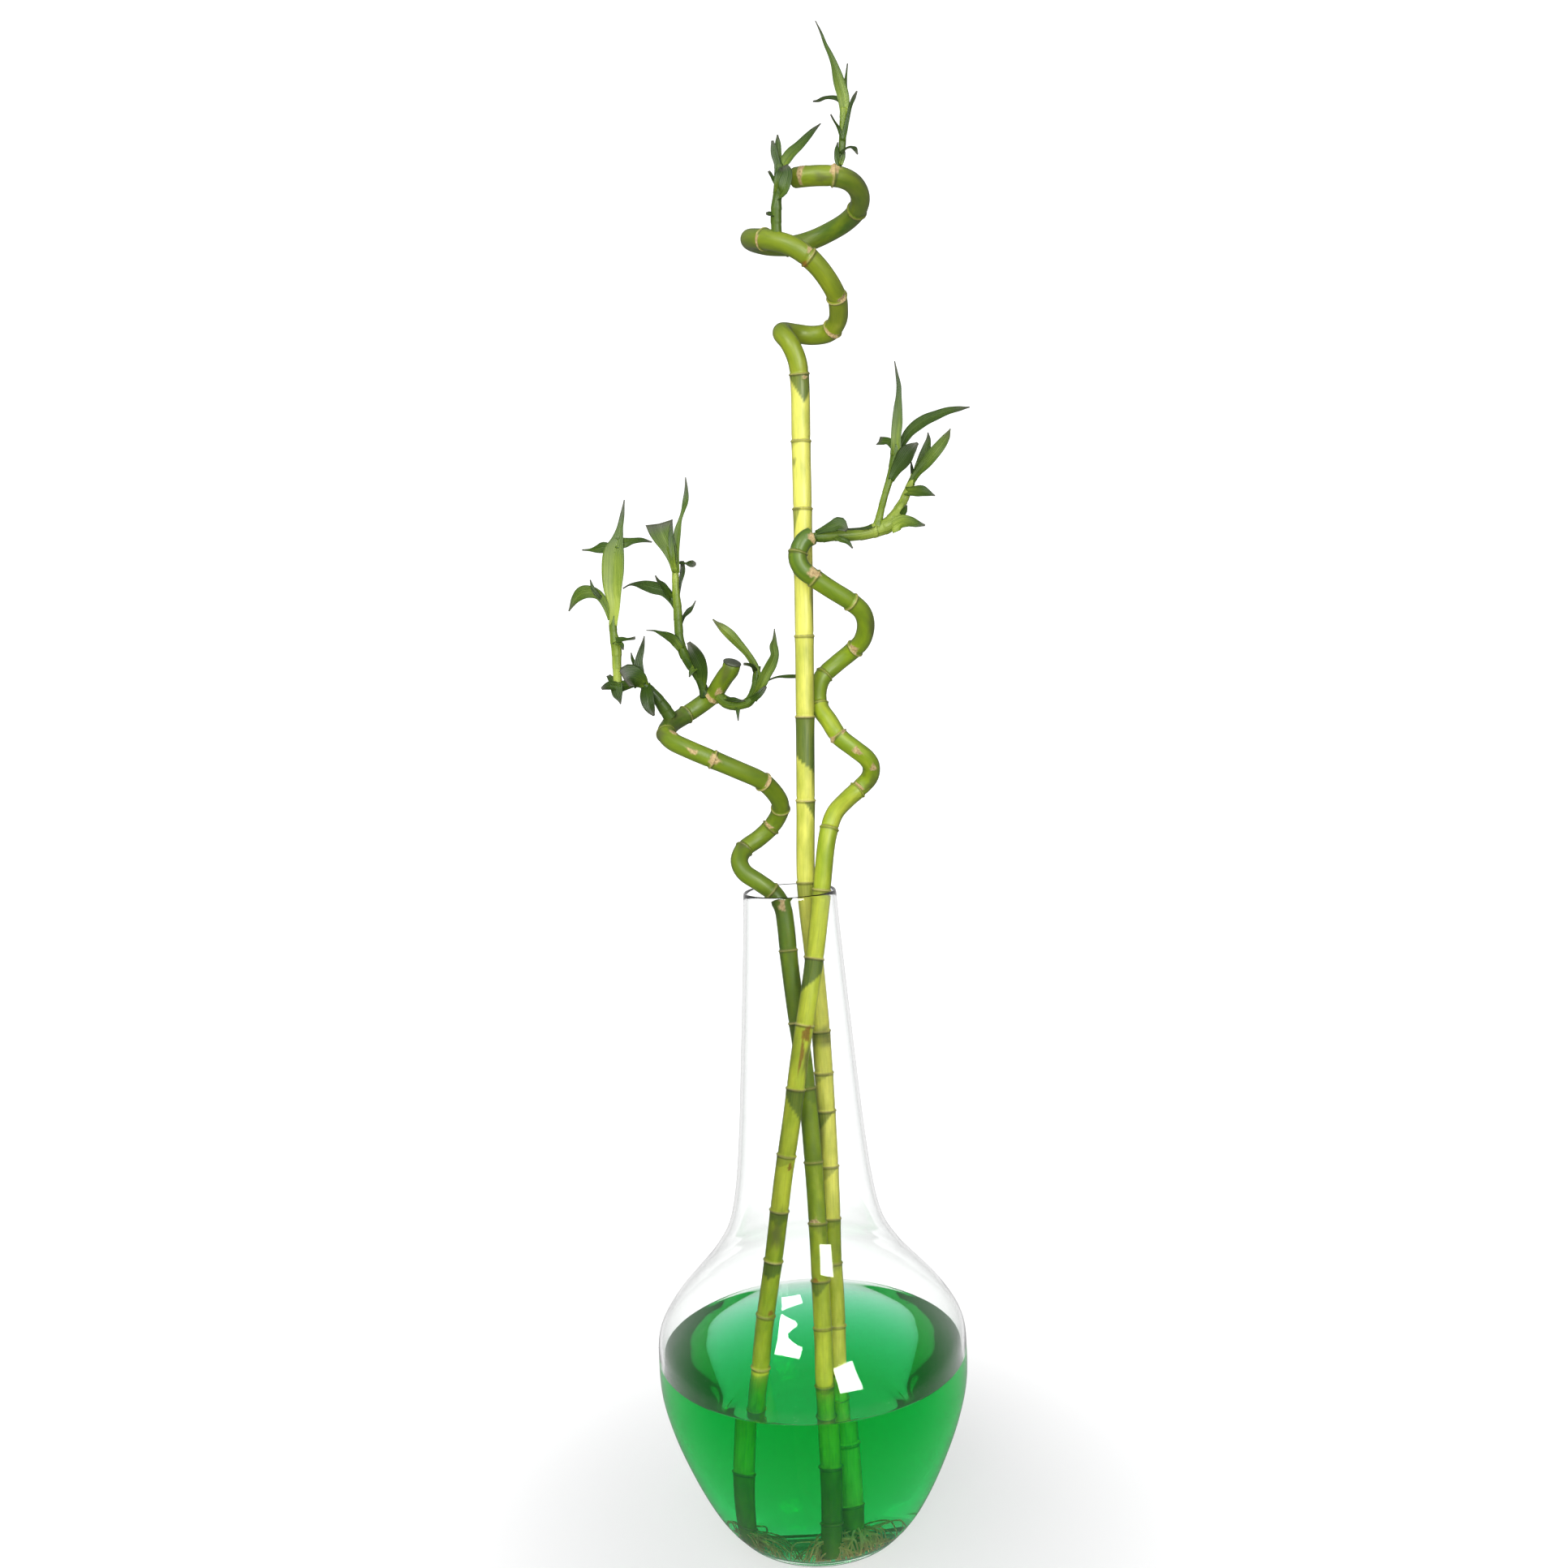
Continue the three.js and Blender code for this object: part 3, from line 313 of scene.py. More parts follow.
# rings, each with its distance from the foot, the tone of the joint below it from dark
# olive to bright yellow, and how pale the ring's line is
TALL_RINGS = [
    (42, 0.35, 0.2), (84, 1.0, 0.3), (124, 1.0, 0.3), (159, 0.72, 0.1), (205, 0.66, 0.3),
    (238, 0.45, 0.4), (277, 0.95, 0.4), (319, 0.95, 0.3), (348, 0.9, 0.3), (380, 0.85, 0.3),
    (438, 0.9, 0.9), (495, 0.85, 0.2), (558, 0.8, 0.9), (622, 0.82, 1.0), (683, 0.85, 0.3),
    (731, 1.0, 0.3), (778, 0.95, 0.2), (828, 0.95, 0.3), (877, 0.9, 0.4), (969, 0.4, 0.8),
    (1005, 0.45, 0.7), (1044, 0.45, 0.4), (1083, 0.33, 0.8), (1165, 0.25, 0.3), (1234, 0.15, 0.1),
    (1289, 0.22, 0.6), (1330, 0.35, 0.9),
]
# dark wedges below rings, each with its ring, its length, the turn of its tip from the front
# towards the right in degrees, how far round it reaches at the ring, and how dark it is
TALL_WEDGES = [
    (205, 8, -30, 140, 0.4), (238, 9, -40, 140, 0.4), (277, 12, -50, 110, 0.5),
    (319, 15, -55, 100, 0.8), (348, 8, -60, 100, 0.5), (380, 4, 10, 400, 0.4),
    (438, 14, -50, 120, 0.5), (495, 14, 0, 400, 0.55), (558, 17, 80, 92, 0.9),
    (622, 45, 90, 480, 1.0), (731, 5, -70, 110, 0.3), (778, 20, -72, 60, 0.65),
    (828, 6, -80, 100, 0.3), (877, 22, 22, 112, 0.95),
]
# patches on the bark: raised tan scars, flat rusty marks and soft dull stains, each with its
# distance from the foot, the way it faces, its half length and its half width
TALL_PATCHES = [
    ("scar", 1310, (-0.5, -0.85, 0.1), 2.0, 8.0), ("scar", 1289, (0, -0.8, 0.5), 2.2, 6.0),
    ("scar", 1083, (-0.8, -0.55, -0.3), 1.5, 6.5), ("scar", 1047, (0.44, -0.86, 0.24), 1.5, 2.8),
    ("rust", 1044, (-0.4, -0.45, -0.8), 2.4, 2.4), ("scar", 1007, (0.6, -0.6, -0.5), 2.2, 4.5),
    ("scar", 970, (-0.25, -0.5, -0.8), 1.8, 6.5), ("scar", 874, (0.5, -0.86, 0), 1.4, 2.2),
    ("dull", 1264, (0.9, -0.2, 0.3), 22, 5.0), ("dull", 1296, (0.2, -0.8, -0.5), 6, 4.0),
    ("dull", 812, (-0.82, -0.57, 0), 3.5, 2.5), ("dull", 712, (0.9, -0.45, 0), 22, 3.5),
    ("dull", 290, (-0.9, -0.4, 0.05), 60, 5.5), ("dull", 590, (0.85, -0.5, 0), 24, 2.5),
    ("dull", 375, (0, -1, 0), 9, 16),
]
TALL_BARK = ((0.07, 0.15, 0.012, 1), (0.3, 0.38, 0.015, 1), (0.9, 0.88, 0.16, 1))
# roots, with the way their fan faces in degrees, its spread, their reach and their number
TALL_ROOTS = (-60, 300, 44, 70)
TALL_SEED = 3
CANE_SIDES = 44
SPAN_STEPS = 24
CANE_STEP = 2.4
RING_STEPS = (-2.4, -1.6, -1.1, -0.7, -0.35, 0, 0.35, 0.7, 1.1, 1.7, 2.5)
# ridge at a ring, flare of the joint below it and groove above it, each as height and spread
RING_RIDGE = (0.75, 0.75)
RING_FLARE = (0.4, 4.5)
RING_GROOVE = (0.25, 1.2)
GROOVE_OFFSET = 1.6
# how far the bark between rings and the edge of a cut lie inside the cane's radius
JOINT_INSET = 0.25
CUT_INSET = 0.5
CUT_ROUNDING = 0.8
SCAR_RIM = 0.3
SCAR_RISE = 0.2
ROOT_FLOOR = BASE_THICKNESS + 1.2
ROOT_LIMIT = 64
ROOT_SIDES = 6
ROOT_STOPS = 18
ROOT_SHORTENING = 0.85
# colours of what lies on the bark, the first of a pair in its dark spots, and the dark olive of the
# painted shade along the cane's outline
STREAK = (0.2, 0.24, 0.02, 1)
STAIN = (0.11, 0.13, 0.03, 1)
WEDGE = (0.065, 0.13, 0.015, 1)
# painted shade: the dark olive that the cane turns to along its outline
PAINTED_LIMB_SHADE = (0.05, 0.07, 0.012, 1)
RING_EDGE = (0.08, 0.08, 0.02, 1)
RING_LINE = ((0.2, 0.19, 0.035, 1), (0.62, 0.5, 0.2, 1))
RUST = ((0.12, 0.08, 0.006, 1), (0.42, 0.18, 0.012, 1))
SCAR = ((0.3, 0.18, 0.06, 1), (0.8, 0.62, 0.3, 1))
ROOT = ((0.8, 0.25, 0.06, 1), (1.0, 0.65, 0.3, 1))


def curve_through(route):
    """Points along a smooth centripetal curve through a route, and their distances."""
    knots = [np.array(knot[:3], float) for knot in route]
    knots = [2 * knots[0] - knots[1]] + knots + [2 * knots[-1] - knots[-2]]
    points = []
    for before, start, end, after in zip(knots, knots[1:], knots[2:], knots[3:]):
        first, span, third = (
            math.sqrt(np.linalg.norm(b - a)) for a, b in ((before, start), (start, end), (end, after))
        )
        straight = (end - start) / span
        leave = (start - before) / first - (end - before) / (first + span) + straight
        arrive = straight - (after - start) / (span + third) + (after - end) / third
        leave = leave * span
        arrive = arrive * span
        cubic = 2 * start - 2 * end + leave + arrive
        square = -3 * start + 3 * end - 2 * leave - arrive
        for weight in np.arange(SPAN_STEPS) / SPAN_STEPS:
            points.append(((cubic * weight + square) * weight + leave) * weight + start)
    points.append(knots[-2])
    points = np.array(points)
    steps = np.linalg.norm(np.diff(points, axis=0), axis=1)
    return points, np.concatenate([[0], np.cumsum(steps)])


def stations_on(route, distances):
    """Middle, heading and two cross directions at each distance along a route."""
    points, lengths = curve_through(route)
    distances = np.clip(distances, 0, lengths[-1])
    headings = np.gradient(points, lengths, axis=0)
    middle = np.stack([np.interp(distances, lengths, points[:, axis]) for axis in range(3)], 1)
    ahead = np.stack([np.interp(distances, lengths, headings[:, axis]) for axis in range(3)], 1)
    ahead /= np.linalg.norm(ahead, axis=1)[:, None]
    side = np.array((1, 0, 0), float)
    sides = []
    for heading in ahead:
        side = side - heading * (side @ heading)
        side = side / np.linalg.norm(side)
        sides.append(side)
    sides = np.array(sides)
    return middle, ahead, sides, np.cross(ahead, sides)


def rod_points(route, distances, radii, sides):
    """Rings of points round a route, with the direction that each one faces."""
    middle, ahead, across, upward = stations_on(route, distances)
    angles = np.arange(sides) * 2 * math.pi / sides
    facing = (
        across[:, None, :] * np.cos(angles)[None, :, None]
        + upward[:, None, :] * np.sin(angles)[None, :, None]
    )
    points = middle[:, None, :] + facing * np.asarray(radii)[:, None, None]
    return points.reshape(-1, 3), facing.reshape(-1, 3), ahead


def smooth_step(low, high, value):
    """Nought below the low value, one above the high one, and smooth between them."""
    share = np.clip((value - low) / (high - low), 0, 1)
    return share * share * (3 - 2 * share)


def patch_reach(patch, facing, ahead, stations, along, radius):
    """How far each point of a cane is from the middle of a patch, as a share of its size."""
    _, middle, direction, half_length, half_width = patch
    station = int(np.argmin(abs(stations - middle)))
    direction = np.array(direction, float)
    direction -= ahead[station] * (direction @ ahead[station])
    direction /= np.linalg.norm(direction)
    sideways = np.cross(ahead[station], direction)
    turn = np.arctan2((facing * sideways).sum(1), (facing * direction).sum(1)) * radius
    lengthwise = (along - middle) / half_length
    crosswise = turn / half_width
    bearing = np.arctan2(crosswise, lengthwise)
    ragged = 1 + 0.2 * np.sin(3 * bearing + middle) + 0.12 * np.sin(7 * bearing + 2 * middle)
    return np.hypot(lengthwise, crosswise) * ragged


def cane_stations(length, places, patches):
    """Distances along a cane for its circles of points, closer at rings, scars and rust."""
    stations = list(np.arange(0, length, CANE_STEP))
    stations += [place + step for place in places for step in RING_STEPS]
    for kind, middle, _, half_length, _ in patches:
        if kind != "dull":
            stations += list(middle + np.linspace(-1.3, 1.3, 12) * half_length)
    return np.unique(np.round([s for s in stations if 0 <= s <= length] + [length], 2))


def cane_radii(radius, offset, stations, length):
    """Radius at each station, with a ridge, a flare and a groove at each ring."""
    ridge = np.exp(-((offset / RING_RIDGE[1]) ** 2))
    flare = np.where(offset < 0, np.exp(offset / RING_FLARE[1]), 0)
    groove = np.where(offset > 0, np.exp(-((offset - GROOVE_OFFSET) ** 2) / RING_GROOVE[1]), 0)
    relief = RING_RIDGE[0] * ridge + RING_FLARE[0] * flare - RING_GROOVE[0] * groove
    cut = np.clip((stations - (length - CUT_ROUNDING)) / CUT_ROUNDING, 0, 1)
    return radius - JOINT_INSET + relief.sum(1) - CUT_INSET * cut ** 2


def joint_tones(places, tones, along):
    """Tone of each joint, a little nearer to the tone of the joint below just above a ring."""
    above = np.clip(np.searchsorted(places, along), 0, len(places) - 1)
    below = np.clip(above - 1, 0, None)
    after_ring = np.clip(along - places[below], 0, None)
    return tones[above] + (tones[below] - tones[above]) * 0.25 * np.exp(-after_ring / 12)


def wedge_marks(wedges, facing, along):
    """How dark each point is from the wedges that hang below the rings."""
    marks = np.zeros(len(along))
    for ring, reach, turn, spread, darkness in wedges:
        turn = math.radians(turn)
        cosine = facing @ np.array((math.sin(turn), -math.cos(turn), 0))
        below = (ring - along) / reach
        half_angle = math.radians(spread) * (1 - below)
        inside = smooth_step(-0.1, 0.1, half_angle - np.arccos(np.clip(cosine, -1, 1)))
        marks = np.maximum(marks, darkness * inside * (below >= 0) * (below < 1))
    return marks


def patch_marks(patches, facing, ahead, stations, along, radius):
    """How far each point is scarred, rusty or dull, and how far a scar lifts it."""
    stained = {kind: np.zeros(len(along)) for kind in ("scar", "rust", "dull")}
    lift = np.zeros(len(along))
    for patch in patches:
        kind, middle, _, half_length, _ = patch
        reach = patch_reach(patch, facing, ahead, stations, along, radius)
        near = abs(along - middle) < 3 * half_length
        inside = 1 - smooth_step(0.3 if kind == "dull" else 0.75, 1.15, reach)
        stained[kind] = np.maximum(stained[kind], inside * near)
        if kind == "scar":
            rim = np.exp(-(((reach - 1) / 0.25) ** 2))
            lift += (SCAR_RIM * rim + SCAR_RISE * inside) * near
    return stained, lift


def cane(name, route, radius, rings, wedges, patches, roots, seed):
    """A cane with its rings, wedges, patches and roots, and its marks for the bark."""
    length = curve_through(route)[1][-1]
    places, tones, paleness = np.array(rings, float).T
    stations = cane_stations(length, places, patches)
    offset = stations[:, None] - places[None, :]
    radii = cane_radii(radius, offset, stations, length)
    points, facing, ahead = rod_points(route, stations, radii, CANE_SIDES)
    along = np.repeat(stations, CANE_SIDES)
    spin = np.tile(np.arange(CANE_SIDES) * 2 * math.pi / CANE_SIDES, len(stations))
    stained, lift = patch_marks(patches, facing, ahead, stations, along, radius)
    points = points + facing * lift[:, None]
    faces = skin(len(stations), CANE_SIDES)
    faces.append(tuple(range(CANE_SIDES))[::-1])
    last = len(points) - CANE_SIDES
    faces.append(tuple(range(last, last + CANE_SIDES)))
    marks = {
        "tone": joint_tones(places, tones, along),
        "ring": np.exp(-((offset / 0.6) ** 2)).max(1).repeat(CANE_SIDES),
        "pale": paleness[np.argmin(abs(offset), 1)].repeat(CANE_SIDES),
        "edge": np.exp(-(((offset + 1.35) / 0.5) ** 2)).max(1).repeat(CANE_SIDES),
        "wedge": wedge_marks(wedges, facing, along),
        "root": np.zeros(len(points)),
        "distance": along / 1000,
        "round_x": np.cos(spin),
        "round_y": np.sin(spin),
        **stained,
    }
    random = np.random.default_rng(seed)
    return add_roots(name, points, faces, marks, route[0], roots, random)


def root_route(foot, angle, bend, reach, height):
    """Route of one root, which bows out from the cane's foot and sinks to the vase's floor."""
    levels = (height, height + 3, height, (height + ROOT_FLOOR) / 2, ROOT_FLOOR)
    route = []
    for share, level in zip((0, 0.4, 0.75, 0.9, 1.0), levels):
        turn = angle + bend * share ** 1.5
        out = reach * share
        route.append((foot[0] + out * math.cos(turn), foot[1] + out * math.sin(turn), level))
    return route


def add_roots(name, points, faces, marks, foot, roots, random):
    """The cane's mesh, with roots that leave its lowest part and wander over the vase's floor."""
    facing, spread, reach, count = roots
    grown = [points]
    total = len(points)
    for number in range(count):
        wander = random.uniform(-8, 8)
        angle = math.radians(facing + spread * (number / (count - 1) - 0.5) + wander)
        height = ROOT_FLOOR + random.uniform(3, 24)
        far = reach * random.uniform(0.45, 1.0)
        bend = random.uniform(-1.6, 1.6)
        for _ in range(12):
            tip = (foot[0] + far * math.cos(angle + bend), foot[1] + far * math.sin(angle + bend))
            if math.hypot(*tip) > ROOT_LIMIT:
                far *= ROOT_SHORTENING
        thick = random.uniform(0.5, 1.2)
        route = root_route(foot, angle, bend, far, height)
        length = curve_through(route)[1][-1]
        stops = np.linspace(0, length, ROOT_STOPS)
        radii = thick * (1.1 - 0.65 * stops / length)
        strand, _, _ = rod_points(route, stops, radii, ROOT_SIDES)
        faces += skin(len(stops), ROOT_SIDES, total)
        faces.append(tuple(range(total, total + ROOT_SIDES))[::-1])
        end = total + len(strand) - ROOT_SIDES
        faces.append(tuple(range(end, end + ROOT_SIDES)))
        grown.append(strand)
        total += len(strand)
    added = total - len(points)
    marks = {mark: np.concatenate([values, np.zeros(added)]) for mark, values in marks.items()}
    marks["root"][len(points):] = 1
    return add_mesh(name, np.concatenate(grown), faces, marks)


def mix_colours(tree, share, low, high):
    """A colour between two others. Each may be a value or a link from another node."""
    node = add_node(tree, "ShaderNodeMix", data_type="RGBA")
    for socket, value in zip((node.inputs[0], node.inputs[6], node.inputs[7]), (share, low, high)):
        if isinstance(value, bpy.types.NodeSocket):
            tree.links.new(value, socket)
        else:
            socket.default_value = value
    return node.outputs[2]


def bark_noise(tree, scale, detail=3.0, stretch=1.0):
    """Random numbers in the bark's own space, round the cane and along it."""
    metres_round = 0.007
    place = add_node(
        tree, "ShaderNodeCombineXYZ",
        {
            0: arithmetic(tree, "MULTIPLY", mark_value(tree, "round_x"), metres_round),
            1: arithmetic(tree, "MULTIPLY", mark_value(tree, "round_y"), metres_round),
            2: arithmetic(tree, "MULTIPLY", mark_value(tree, "distance"), stretch),
        },
    )
    pattern = add_node(
        tree, "ShaderNodeTexNoise",
        {"Vector": place.outputs[0], "Scale": scale, "Detail": detail},
    )
    return pattern.outputs["Fac"]


def scaled(tree, value, factor, offset=0.0):
    """A value times a factor, plus an offset."""
    node = arithmetic(tree, "MULTIPLY_ADD", value, factor)
    node.node.inputs[2].default_value = offset
    return node


def cane_material(name, bark):
    """Satin bark from olive to yellow, with pale rings, tan scars, fine streaks and painted edge
    shade.
    """
    material, tree, shader = node_tree(name)
    streaks = bark_noise(tree, 900.0, 3.0, 0.05)
    patches = bark_noise(tree, 130.0, 3.0, 0.35)
    crust = bark_noise(tree, 700.0, 3.0, 1.0)
    tone = scaled(tree, patches, 0.6, -0.3)
    tone = arithmetic(tree, "ADD", mark_value(tree, "tone"), tone, True)
    ramp = add_node(tree, "ShaderNodeValToRGB", {"Fac": tone})
    ramp.color_ramp.elements[0].color = bark[0]
    ramp.color_ramp.elements[1].color = bark[2]
    ramp.color_ramp.elements.new(0.5).color = bark[1]
    lines = scaled(tree, streaks, 3.2, -1.55)
    lines.node.use_clamp = True
    lines = arithmetic(tree, "MULTIPLY", lines, 0.3)
    colour = mix_colours(tree, lines, ramp.outputs["Color"], STREAK)
    dull = scaled(tree, patches, 0.8, 0.3)
    dull = arithmetic(tree, "MULTIPLY", mark_value(tree, "dull"), dull, True)
    colour = mix_colours(tree, dull, colour, STAIN)
    shade = scaled(tree, streaks, 0.5, -0.25)
    shade = arithmetic(tree, "MULTIPLY", mark_value(tree, "wedge"), shade)
    wedge = arithmetic(tree, "ADD", mark_value(tree, "wedge"), shade)
    colour = mix_colours(tree, arithmetic(tree, "MULTIPLY", wedge, 0.88, True), colour, WEDGE)
    # painted shade: the bark darkens towards the cane's outline, where it turns away from the eye
    facing = add_node(tree, "ShaderNodeLayerWeight", {"Blend": 0.5}).outputs["Facing"]
    painted_limb_shade = arithmetic(tree, "MULTIPLY", arithmetic(tree, "POWER", facing, 3.0), 0.8, True)
    colour = mix_colours(tree, painted_limb_shade, colour, PAINTED_LIMB_SHADE)
    edge = arithmetic(tree, "MULTIPLY", mark_value(tree, "edge"), 0.7)
    colour = mix_colours(tree, edge, colour, RING_EDGE)
    line = mix_colours(tree, mark_value(tree, "pale"), *RING_LINE)
    broken = scaled(tree, crust, 1.4, 0.1)
    broken = arithmetic(tree, "MULTIPLY", mark_value(tree, "ring"), broken, True)
    colour = mix_colours(tree, broken, colour, line)
    rust = mix_colours(tree, crust, *RUST)
    rusty = arithmetic(tree, "MULTIPLY", mark_value(tree, "rust"), 0.9)
    colour = mix_colours(tree, rusty, colour, rust)
    tan = mix_colours(tree, scaled(tree, crust, 1.8, -0.4), *SCAR)
    colour = mix_colours(tree, mark_value(tree, "scar"), colour, tan)
    strand = mix_colours(tree, noise(tree, 120.0, 3.0), *ROOT)
    colour = mix_colours(tree, mark_value(tree, "root"), colour, strand)
    tree.links.new(colour, shader.inputs["Base Color"])
    scarred = scaled(tree, mark_value(tree, "scar"), 0.3)
    rough = arithmetic(tree, "ADD", scaled(tree, streaks, 0.25, 0.32), scarred)
    tree.links.new(rough, shader.inputs["Roughness"])
    fibres = add_node(
        tree, "ShaderNodeBump", {"Strength": 0.2, "Distance": 0.0004, "Height": streaks}
    )
    tree.links.new(fibres.outputs["Normal"], shader.inputs["Normal"])
    shader.inputs["Specular IOR Level"].default_value = 0.4
    shader.inputs["Subsurface Weight"].default_value = 0.08
    shader.inputs["Subsurface Radius"].default_value = (0.004, 0.004, 0.001)
    return material


tall_cane = cane(
    "tall_cane", TALL_ROUTE, TALL_RADIUS, TALL_RINGS, TALL_WEDGES, TALL_PATCHES,
    TALL_ROOTS, TALL_SEED,
)
tall_cane.data.materials.append(cane_material("tall_cane_bark", TALL_BARK))
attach(tall_cane, "root")
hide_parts("stalk_tall")

# Right cane
#
# The right cane is a greener stalk that leans on the tall one and winds to the right of it
# in a narrower coil. Its upper end was cut, and its forked shoot grew from there.
RIGHT_RADIUS = 7
RIGHT_ROUTE = [
    (-47, -36, 14), (-46, -38, 60), (-43.5, -38, 105), (-40.5, -38, 139), (-36, -38, 172),
    (-31.5, -38, 197), (-25.6, -38, 228), (-20.4, -38, 259), (-15.2, -37, 290), (-7, -34, 332),
    (1.6, -29, 380), (7.6, -25, 409), (16, -16, 450), (24, -8, 498), (31, -5, 541),
    (37, 2, 556.5), (47.5, 13, 566), (57.5, 18.5, 573.5), (66, 17.5, 582), (67.3, 11.5, 591),
    (63.5, 6, 598), (55.5, 3, 605), (43.5, 4, 615.5), (36.5, 9, 627.5), (30.5, 16, 637.5),
    (29.5, 21, 649), (34, 26, 661), (45, 29, 670.5), (56.5, 27, 679), (65, 19, 687),
    (68, 8, 699), (65, 0, 708.5), (56.5, -7, 716), (42, -13, 725.5), (30, -17, 734),
    (21.5, -18, 741), (18.3, -17.5, 749), (20.3, -16.5, 757), (24.3, -15, 762.5),
    (30, -14, 765.5),
]
RIGHT_RINGS = [
    (20, 0.3, 0.2), (66, 0.3, 0.2), (130, 1.0, 0.3), (171, 0.55, 0.1), (214, 0.6, 0.5),
    (253, 0.6, 0.4), (295, 0.85, 0.4), (345, 0.7, 0.4), (393, 0.75, 0.8), (443, 0.85, 1.0),
    (495, 0.85, 0.8), (542, 0.6, 0.3), (585, 0.7, 0.4), (647, 0.5, 0.7), (678, 0.62, 0.4),
    (704, 0.45, 0.4), (736, 0.4, 0.6), (788, 0.45, 0.7), (822, 0.32, 0.5), (846, 0.15, 0.3),
    (870, 0.08, 0.8),
]
RIGHT_WEDGES = [
    (214, 13, -20, 190, 0.9), (253, 9, 0, 300, 0.5), (295, 9, -40, 120, 0.4),
    (345, 26, 80, 190, 0.9), (443, 30, -90, 237, 1.0), (495, 8, -30, 160, 0.4),
]
RIGHT_PATCHES = [
    ("scar", 861, (0.3, -0.94, -0.2), 2.4, 4.5), ("scar", 825, (0.35, -0.9, 0.3), 4.2, 4.2),
    ("scar", 739, (-0.5, -0.8, -0.3), 3.0, 4.2), ("scar", 630, (0.06, -1, -0.1), 3.2, 2.4),
    ("scar", 647, (-0.7, -0.65, -0.4), 1.7, 3.2), ("scar", 646, (0.4, -0.7, 0.6), 1.6, 2.4),
    ("scar", 587, (-0.1, -0.96, 0.3), 1.7, 5.0), ("scar", 613, (0.3, -0.8, -0.5), 3.0, 2.6),
    ("rust", 387, (0.35, -0.93, 0.1), 5.5, 3.4), ("rust", 371, (0.12, -0.99, 0.1), 13, 1.5),
    ("rust", 288, (0.5, -0.86, 0), 3.0, 1.6), ("dull", 250, (0.2, -0.97, 0), 4.0, 9.0),
    ("rust", 175, (0.5, -0.85, 0), 2.0, 2.4), ("dull", 763, (0.6, -0.6, -0.3), 16, 4.5),
    ("dull", 597, (0.6, -0.6, 0.5), 10, 5.0), ("dull", 368, (0.8, -0.6, 0), 18, 4.0),
    ("dull", 237, (0, -1, 0), 16, 6.0),
]
RIGHT_BARK = ((0.06, 0.14, 0.012, 1), (0.26, 0.38, 0.012, 1), (0.74, 0.8, 0.07, 1))
RIGHT_ROOTS = (-90, 300, 36, 60)
RIGHT_SEED = 5
right_cane = cane(
    "right_cane", RIGHT_ROUTE, RIGHT_RADIUS, RIGHT_RINGS, RIGHT_WEDGES, RIGHT_PATCHES,
    RIGHT_ROOTS, RIGHT_SEED,
)
right_cane.data.materials.append(cane_material("right_cane_bark", RIGHT_BARK))
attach(right_cane, "root")
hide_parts("stalk_right")

# Left cane
#
# The left cane is the darkest stalk. It comes up through the mouth, winds out over the rim
# to the left, and ends in a cut that was sealed with wax.
LEFT_RADIUS = 7
LEFT_ROUTE = [
    (5, -58, 14), (7, -61, 60), (7.6, -61.5, 105), (7.4, -58, 139), (8.2, -52, 170),
    (8.3, -46, 198), (8.5, -37.5, 238), (8.2, -31, 268), (7, -22, 315), (5.6, -17, 345),
    (3.5, -12, 375), (0, -6, 411), (-3, 0, 448), (-4.3, 4, 473), (-6, 6, 486), (-12, 6, 497),
    (-23.5, 4, 507), (-34, 5, 515), (-37.5, 11, 523), (-33.5, 20, 531), (-22, 26, 538),
    (-11.5, 26, 547), (-4.8, 21, 557.5), (-3.8, 13, 566), (-8.5, 3, 576), (-17, -8, 585.5),
    (-33.5, -19, 595), (-53, -26, 605), (-69.5, -26, 613), (-81.5, -18, 619), (-87, -4, 625),
    (-83.5, 11, 631), (-74.5, 22, 636.5), (-66, 27, 641.5), (-57.5, 28, 647), (-50, 24, 653),
    (-45.5, 18, 659), (-40.5, 12, 665.5), (-36.5, 8, 670), (-35, 6.3, 674.5),
]
LEFT_RINGS = [
    (33, 0.25, 0.2), (77, 0.25, 0.2), (122, 1.0, 0.3), (165, 0.75, 0.1), (199, 0.7, 0.3),
    (241, 0.6, 0.3), (286, 0.5, 0.3), (341, 0.4, 0.3), (391, 0.25, 0.8), (446, 0.25, 0.5),
    (495, 0.15, 0.3), (544, 0.32, 0.3), (572, 0.38, 0.2), (592, 0.36, 0.6), (628, 0.35, 0.8),
    (674, 0.38, 0.7), (724, 0.42, 0.4), (760, 0.15, 0.6), (786, 0.3, 0.5), (830, 0.32, 0.6),
]
LEFT_WEDGES = [
    (122, 8, 0, 200, 0.5), (199, 12, -30, 90, 0.8), (241, 10, 40, 120, 0.4),
    (341, 12, 40, 120, 0.5),
]
LEFT_PATCHES = [
    ("scar", 480, (0, -1, 0.1), 3.4, 2.8), ("scar", 674, (0.2, -1, 0), 3.4, 4.0),
    ("scar", 689, (-0.05, -1, 0.05), 3.4, 1.8), ("scar", 710, (0.3, -0.35, 0.85), 4.2, 2.4),
    ("scar", 787, (-0.2, -0.9, -0.4), 2.2, 6.0), ("scar", 798, (-0.1, -0.7, -0.7), 4.0, 2.4),
    ("scar", 741, (-0.4, -0.3, 0.85), 3.0, 4.0), ("scar", 574, (-0.45, -0.88, 0.15), 1.6, 5.0),
    ("scar", 629, (0.7, -0.7, 0.1), 1.3, 6.0), ("scar", 243, (-0.4, -0.9, 0), 1.4, 4.5),
    ("rust", 200, (-0.6, -0.8, 0), 1.6, 2.4), ("dull", 541, (0, -0.65, 0.77), 5.0, 4.0),
    ("dull", 744, (0, -0.7, 0.6), 14, 7.0), ("dull", 720, (-0.9, -0.3, 0.3), 10, 6.0),
    ("dull", 820, (-0.4, -0.8, -0.3), 16, 4.0),
]
